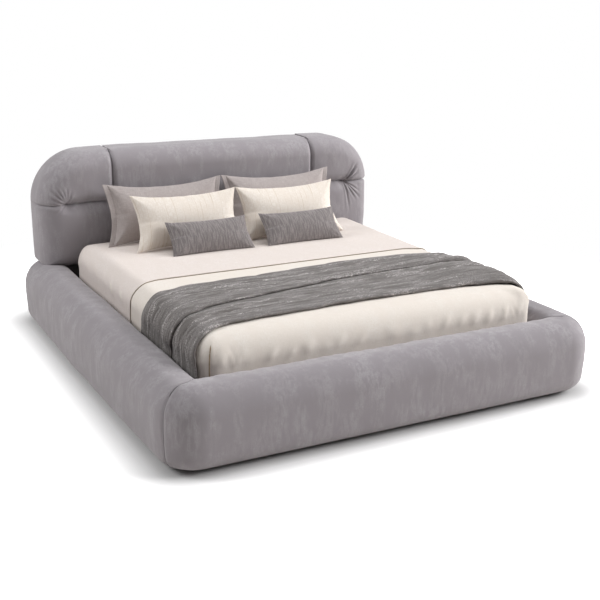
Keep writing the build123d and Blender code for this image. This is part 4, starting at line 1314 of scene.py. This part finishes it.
def pillow_skin(size, draw, sag, splay, flange, seed):
    """Front and back of a pillow on one grid, lying in its own upright plane, with its flat place.

    The thickness falls to the seam as a power of the distance to the four edges. The case swells in
    the simulation, of which the width and height keep a share and the thickness is brought back to
    the pillow's own; the edges then bow in by the draw at the sides and the sag above and below, the
    corners pull small folds, and the two on the bed splay forwards."""
    width, height, thickness = size
    inner_width = width - 2 * flange
    cube, faces = cube_grid(*case_cells)
    a, b, c = cube.T
    u, v = crowded(a, case_crowding), crowded(c, case_crowding)
    full = np.clip((1 - np.abs(u) ** 2.2) * (1 - np.abs(v) ** 2.2), 0, 1) ** 0.62
    flat = np.stack([u * inner_width / 2, v * height / 2], axis=1)
    x, z = flat.T
    swell = (0.0015 + 0.36 * thickness * full) * b + 0.0012 * ripple(flat, 0.09, seed) * full * b
    points = np.stack([x, swell, z], axis=1)
    bow = 1.0
    swollen = filled(points, faces)
    swollen = swollen - (swollen.max(axis=0) + swollen.min(axis=0)) / 2
    points = points + case_keeps * (swollen - points)
    points[:, 1] = swollen[:, 1]
    bow = 0.9
    points *= np.array([inner_width, thickness, height]) / (points.max(axis=0) - points.min(axis=0))
    points[:, 0] *= 1 - bow * draw * (1 - v * v) * (1 - 0.4 * v)
    points[:, 2] *= 1 - bow * sag * (1 - u * u)
    to_corner = np.stack([(1 - np.abs(u)) * width / 2, (1 - np.abs(v)) * height / 2])
    away, angle = np.hypot(*to_corner), np.arctan2(*to_corner)
    pulls = np.sin(angle * 11 + 2 * np.sign(u) + np.sign(v) + seed) * bell(away, 0.11)
    points[:, 1] += b * 0.0028 * pulls * smooth(away, 0.004, 0.03) * np.sqrt(full)
    along_seam = ripple(flat * np.where(np.abs(u) > np.abs(v), 0.4, 1.0)[:, None], 0.045, seed + 1)
    points[:, 1] += b * 0.0016 * along_seam * bell(np.minimum(*to_corner), 0.05) * np.sqrt(full)
    ear = bell(away, 0.13) * (v < 0)
    points[:, 0] += 0.5 * splay * np.sign(u) * ear
    points[:, 1] -= splay * ear
    if flange:
        points, faces, flat = add_flange(points, faces, flat, cube, flange)
    return points, faces, flat


def add_flange(points, faces, flat, cube, flange):
    """Carries the two sides of a sham on past its seam as a flat border of two layers.

    The border's layers part and meet again by its profile, which leaves two stitched grooves."""
    profile = ((0.003, 0.0010), (0.008, 0.0022), (0.013, 0.0009), (0.020, 0.0020))
    profile += ((0.033, 0.0020), (flange, 0.0008))
    a, b, c = cube.T
    all_points, all_flat = [points], [flat]
    at_left, at_right = np.abs(a + 1) < 1e-9, np.abs(a - 1) < 1e-9
    kept = faces[~at_left[faces].all(axis=1) & ~at_right[faces].all(axis=1)]
    for side, on_side in ((-1, at_left), (1, at_right)):
        front = np.flatnonzero(on_side & (b < 0))
        back = np.flatnonzero(on_side & (b > 0))
        front, back = front[np.argsort(c[front])], back[np.argsort(c[back])]
        middle = (points[front] + points[back]) / 2
        v = c[front]
        rows = [(front, back)]
        for out, half in profile:
            wave = 0.004 * np.sin(v * 7 + side) * out / flange
            place = middle + np.stack([side * out + 0 * v, wave, 0.10 * out * v], axis=1)
            count = sum(len(p) for p in all_points)
            number = np.arange(len(v))
            all_points += [place - (0, half, 0), place + (0, half, 0)]
            all_flat += [flat[front] + (side * out, 0)] * 2
            rows.append((count + number, count + len(v) + number))
        sheets = [np.stack([row[layer] for row in rows]) for layer in (0, 1)]
        edges = [[sheet[:, end] for sheet in sheets] for end in (0, -1)] + [[sheet[-1] for sheet in sheets]]
        for sheet in sheets + [np.stack(edge, axis=1) for edge in edges]:
            kept = np.vstack([kept, sheet.ravel()[grid_faces(*sheet.shape)]])
    return np.vstack(all_points), kept, np.vstack(all_flat)


def lean_back(points, place, lean, height):
    """Sets a pillow on its lower edge at its place, leaned back, and presses it flat on the bed."""
    x, y, z = points.T
    z = z + height / 2
    c, s = np.cos(np.radians(lean)), np.sin(np.radians(lean))
    lower = bed_level - pillow_sink * c
    across, along = place
    placed = np.stack([across + x, along + y * c + z * s, lower - y * s + z * c], axis=1)
    soft = 0.004
    over = (placed[:, 2] - bed_level) / soft
    placed[:, 2] = bed_level + soft * np.where(over > 30, over, np.log1p(np.exp(np.minimum(over, 30))))
    return placed


# Lean in degrees, size, draw and sag as shares, splay, flange, finish, slot
pillow_kinds = {
    "sham": (15, (0.790, 0.388, 0.136), 0.060, 0.115, 0.040, 0.030, taupe_linen, "taupe_linen"),
    "cream_pillow": (20, (0.698, 0.358, 0.150), 0.075, 0.105, 0.034, 0.0, cream_linen, "slub_linen"),
    "lumbar": (37, (0.530, 0.236, 0.112), 0.050, 0.060, 0.012, 0.0, lumbar_weave, "grey_slub"),
}
pillow_places = {
    "sham_left": (-0.403, 0.800),
    "sham_right": (0.392, 0.800),
    "cream_pillow_left": (-0.345, 0.578),
    "cream_pillow_right": (0.353, 0.574),
    "lumbar_left": (-0.270, 0.392),
    "lumbar_right": (0.352, 0.386),
}
for number, (pillow, place) in enumerate(pillow_places.items()):
    lean, size, draw, sag, splay, flange, finish, slot_name = pillow_kinds[pillow.rsplit("_", 1)[0]]
    skin, faces, flat = pillow_skin(size, draw, sag, splay, flange, 111 + 10 * number)
    skin = lean_back(skin, place, lean, size[1])
    stands_for = (pillow + "_cover", pillow + "_insert")
    thing = padded_piece(pillow + "_pillow", skin, faces, finish, pillow, stands_for, flat)
    rounder = thing.modifiers.new("rounder", "SUBSURF")
    rounder.levels = rounder.render_levels = 1


# Floor, light and camera


# Name, place, what it is aimed at, width and power in watts
lamps = (
    ("ceiling_lamp", (0, 0, 6.5), (0, 0, 0), 6.0, 145),
    ("right_front_lamp", (11.0, -8.2, 8.0), (0.3, 0.3, 0.5), 5.5, 1080),
    ("right_lamp", (10.2, -2.0, 5.2), (0, 0.5, 0.5), 5.5, 840),
    ("left_back_lamp", (-8.0, 3.0, 6.5), (-1, 0, 0.4), 5.0, 490),
)


def bare_tree(owner):
    """The node tree of a material or world, with nothing in it."""
    owner.use_nodes = True
    owner.node_tree.nodes.clear()
    return owner.node_tree


def seen_by_eye(tree):
    """1 for what the camera sees, directly, in a gloss or through glass, and 0 for scattered light."""
    path = add_node(tree, "ShaderNodeLightPath").outputs
    seen = path["Is Camera Ray"]
    for ray in ("Is Glossy Ray", "Is Transmission Ray"):
        seen = add_node(tree, "ShaderNodeMath", {"operation": "MAXIMUM"}, {0: seen, 1: path[ray]}).outputs[0]
    return seen


def pale_floor():
    """The floor: matt to the lamps' light; to the eye it carries a painted shade, dark beside the rails and
    paler the farther it is from them.

    It glows from two to three metres off, so that it is white there, and beside the bed it keeps the lamps'
    shadow under the painted shade."""
    corners = [(-floor_reach, -floor_reach, 0), (floor_reach, -floor_reach, 0)]
    corners += [(floor_reach, floor_reach, 0), (-floor_reach, floor_reach, 0)]
    floor_mesh = bpy.data.meshes.new("floor")
    floor_mesh.from_pydata(corners, [], [(0, 1, 2, 3)])
    floor = add_object("floor", floor_mesh)
    material = bpy.data.materials.new("pale_floor")
    tree = bare_tree(material)
    seen = seen_by_eye(tree)
    matt = add_node(tree, "ShaderNodeBsdfDiffuse", {}, {"Color": floor_matt}).outputs[0]
    glow = add_node(tree, "ShaderNodeEmission", {}, {"Color": (1, 1, 1, 1), "Strength": 1.0}).outputs[0]
    place = beyond = add_node(tree, "ShaderNodeTexCoord").outputs["Object"]
    away = add_node(tree, "ShaderNodeVectorMath", {"operation": "LENGTH"}, {0: place}).outputs["Value"]
    for operation, second in (("ABSOLUTE", {}), ("SUBTRACT", {1: shade_core}), ("MAXIMUM", {1: (0, 0, 0)})):
        inputs = {0: beyond, **second}
        beyond = add_node(tree, "ShaderNodeVectorMath", {"operation": operation}, inputs).outputs[0]
    beyond = add_node(tree, "ShaderNodeVectorMath", {"operation": "LENGTH"}, {0: beyond}).outputs["Value"]
    shade = {"Value": beyond, "From Min": 0.0, "From Max": shade_width}
    shade.update({"To Min": shade_range[0], "To Max": shade_range[1]})
    # Painted shade: the floor's colour to the eye is darkest beside the rails and paler farther out
    bright = add_node(tree, "ShaderNodeMapRange", {"interpolation_type": "SMOOTHSTEP"}, shade)
    lit = add_node(tree, "ShaderNodeBsdfDiffuse", {}, {"Color": bright.outputs[0]}).outputs[0]
    fade = {"Value": away, "From Min": glow_range[0], "From Max": glow_range[1]}
    far = add_node(tree, "ShaderNodeMapRange", {"interpolation_type": "SMOOTHSTEP"}, fade)
    pale = add_node(tree, "ShaderNodeMixShader", {}, {0: far.outputs[0], 1: lit, 2: glow}).outputs[0]
    mixed = add_node(tree, "ShaderNodeMixShader", {}, {0: seen, 1: matt, 2: pale})
    add_node(tree, "ShaderNodeOutputMaterial", {}, {"Surface": mixed.outputs[0]})
    floor_mesh.materials.append(material)


def surround_and_lamps():
    """A surround that the eye sees as white and that gives little light itself, and broad soft lamps."""
    world = bpy.data.worlds.new("surround")
    tree = bare_tree(world)
    dim, white = (
        add_node(tree, "ShaderNodeBackground", {}, {"Color": (1, 1, 1, 1), "Strength": strength}).outputs[0]
        for strength in (surround_light, 1.0)
    )
    mixed = add_node(tree, "ShaderNodeMixShader", {}, {0: seen_by_eye(tree), 1: dim, 2: white})
    add_node(tree, "ShaderNodeOutputWorld", {}, {"Surface": mixed.outputs[0]})
    bpy.context.scene.world = world
    for name, place, aim, across, power in lamps:
        lamp_data = bpy.data.lights.new(name, "AREA")
        lamp_data.shape = "DISK"
        lamp_data.size = across
        lamp_data.energy = power
        lamp = add_object(name, lamp_data)
        lamp.location = place
        lamp.rotation_mode = "QUATERNION"
        lamp.rotation_quaternion = (Vector(aim) - Vector(place)).to_track_quat("-Z", "Y")


pale_floor()
surround_and_lamps()


def photo_camera():
    """The camera from its heading, its dip below level and its roll."""
    c, s = np.cos(camera_heading), np.sin(camera_heading)
    ahead = Vector((s * np.cos(camera_dip), c * np.cos(camera_dip), -np.sin(camera_dip)))
    level = Vector((c, -s, 0.0))
    upward = level.cross(ahead)
    right = level * np.cos(camera_roll) + upward * np.sin(camera_roll)
    top = upward * np.cos(camera_roll) - level * np.sin(camera_roll)
    data = bpy.data.cameras.new("photo_camera")
    data.lens = camera_lens
    data.sensor_width = camera_sensor
    camera = add_object("photo_camera", data)
    turned = Matrix((right, top, -ahead)).transposed().to_4x4()
    camera.matrix_world = Matrix.Translation(Vector(camera_place)) @ turned
    bpy.context.scene.camera = camera


photo_camera()
bpy.context.scene.view_settings.view_transform = "Standard"
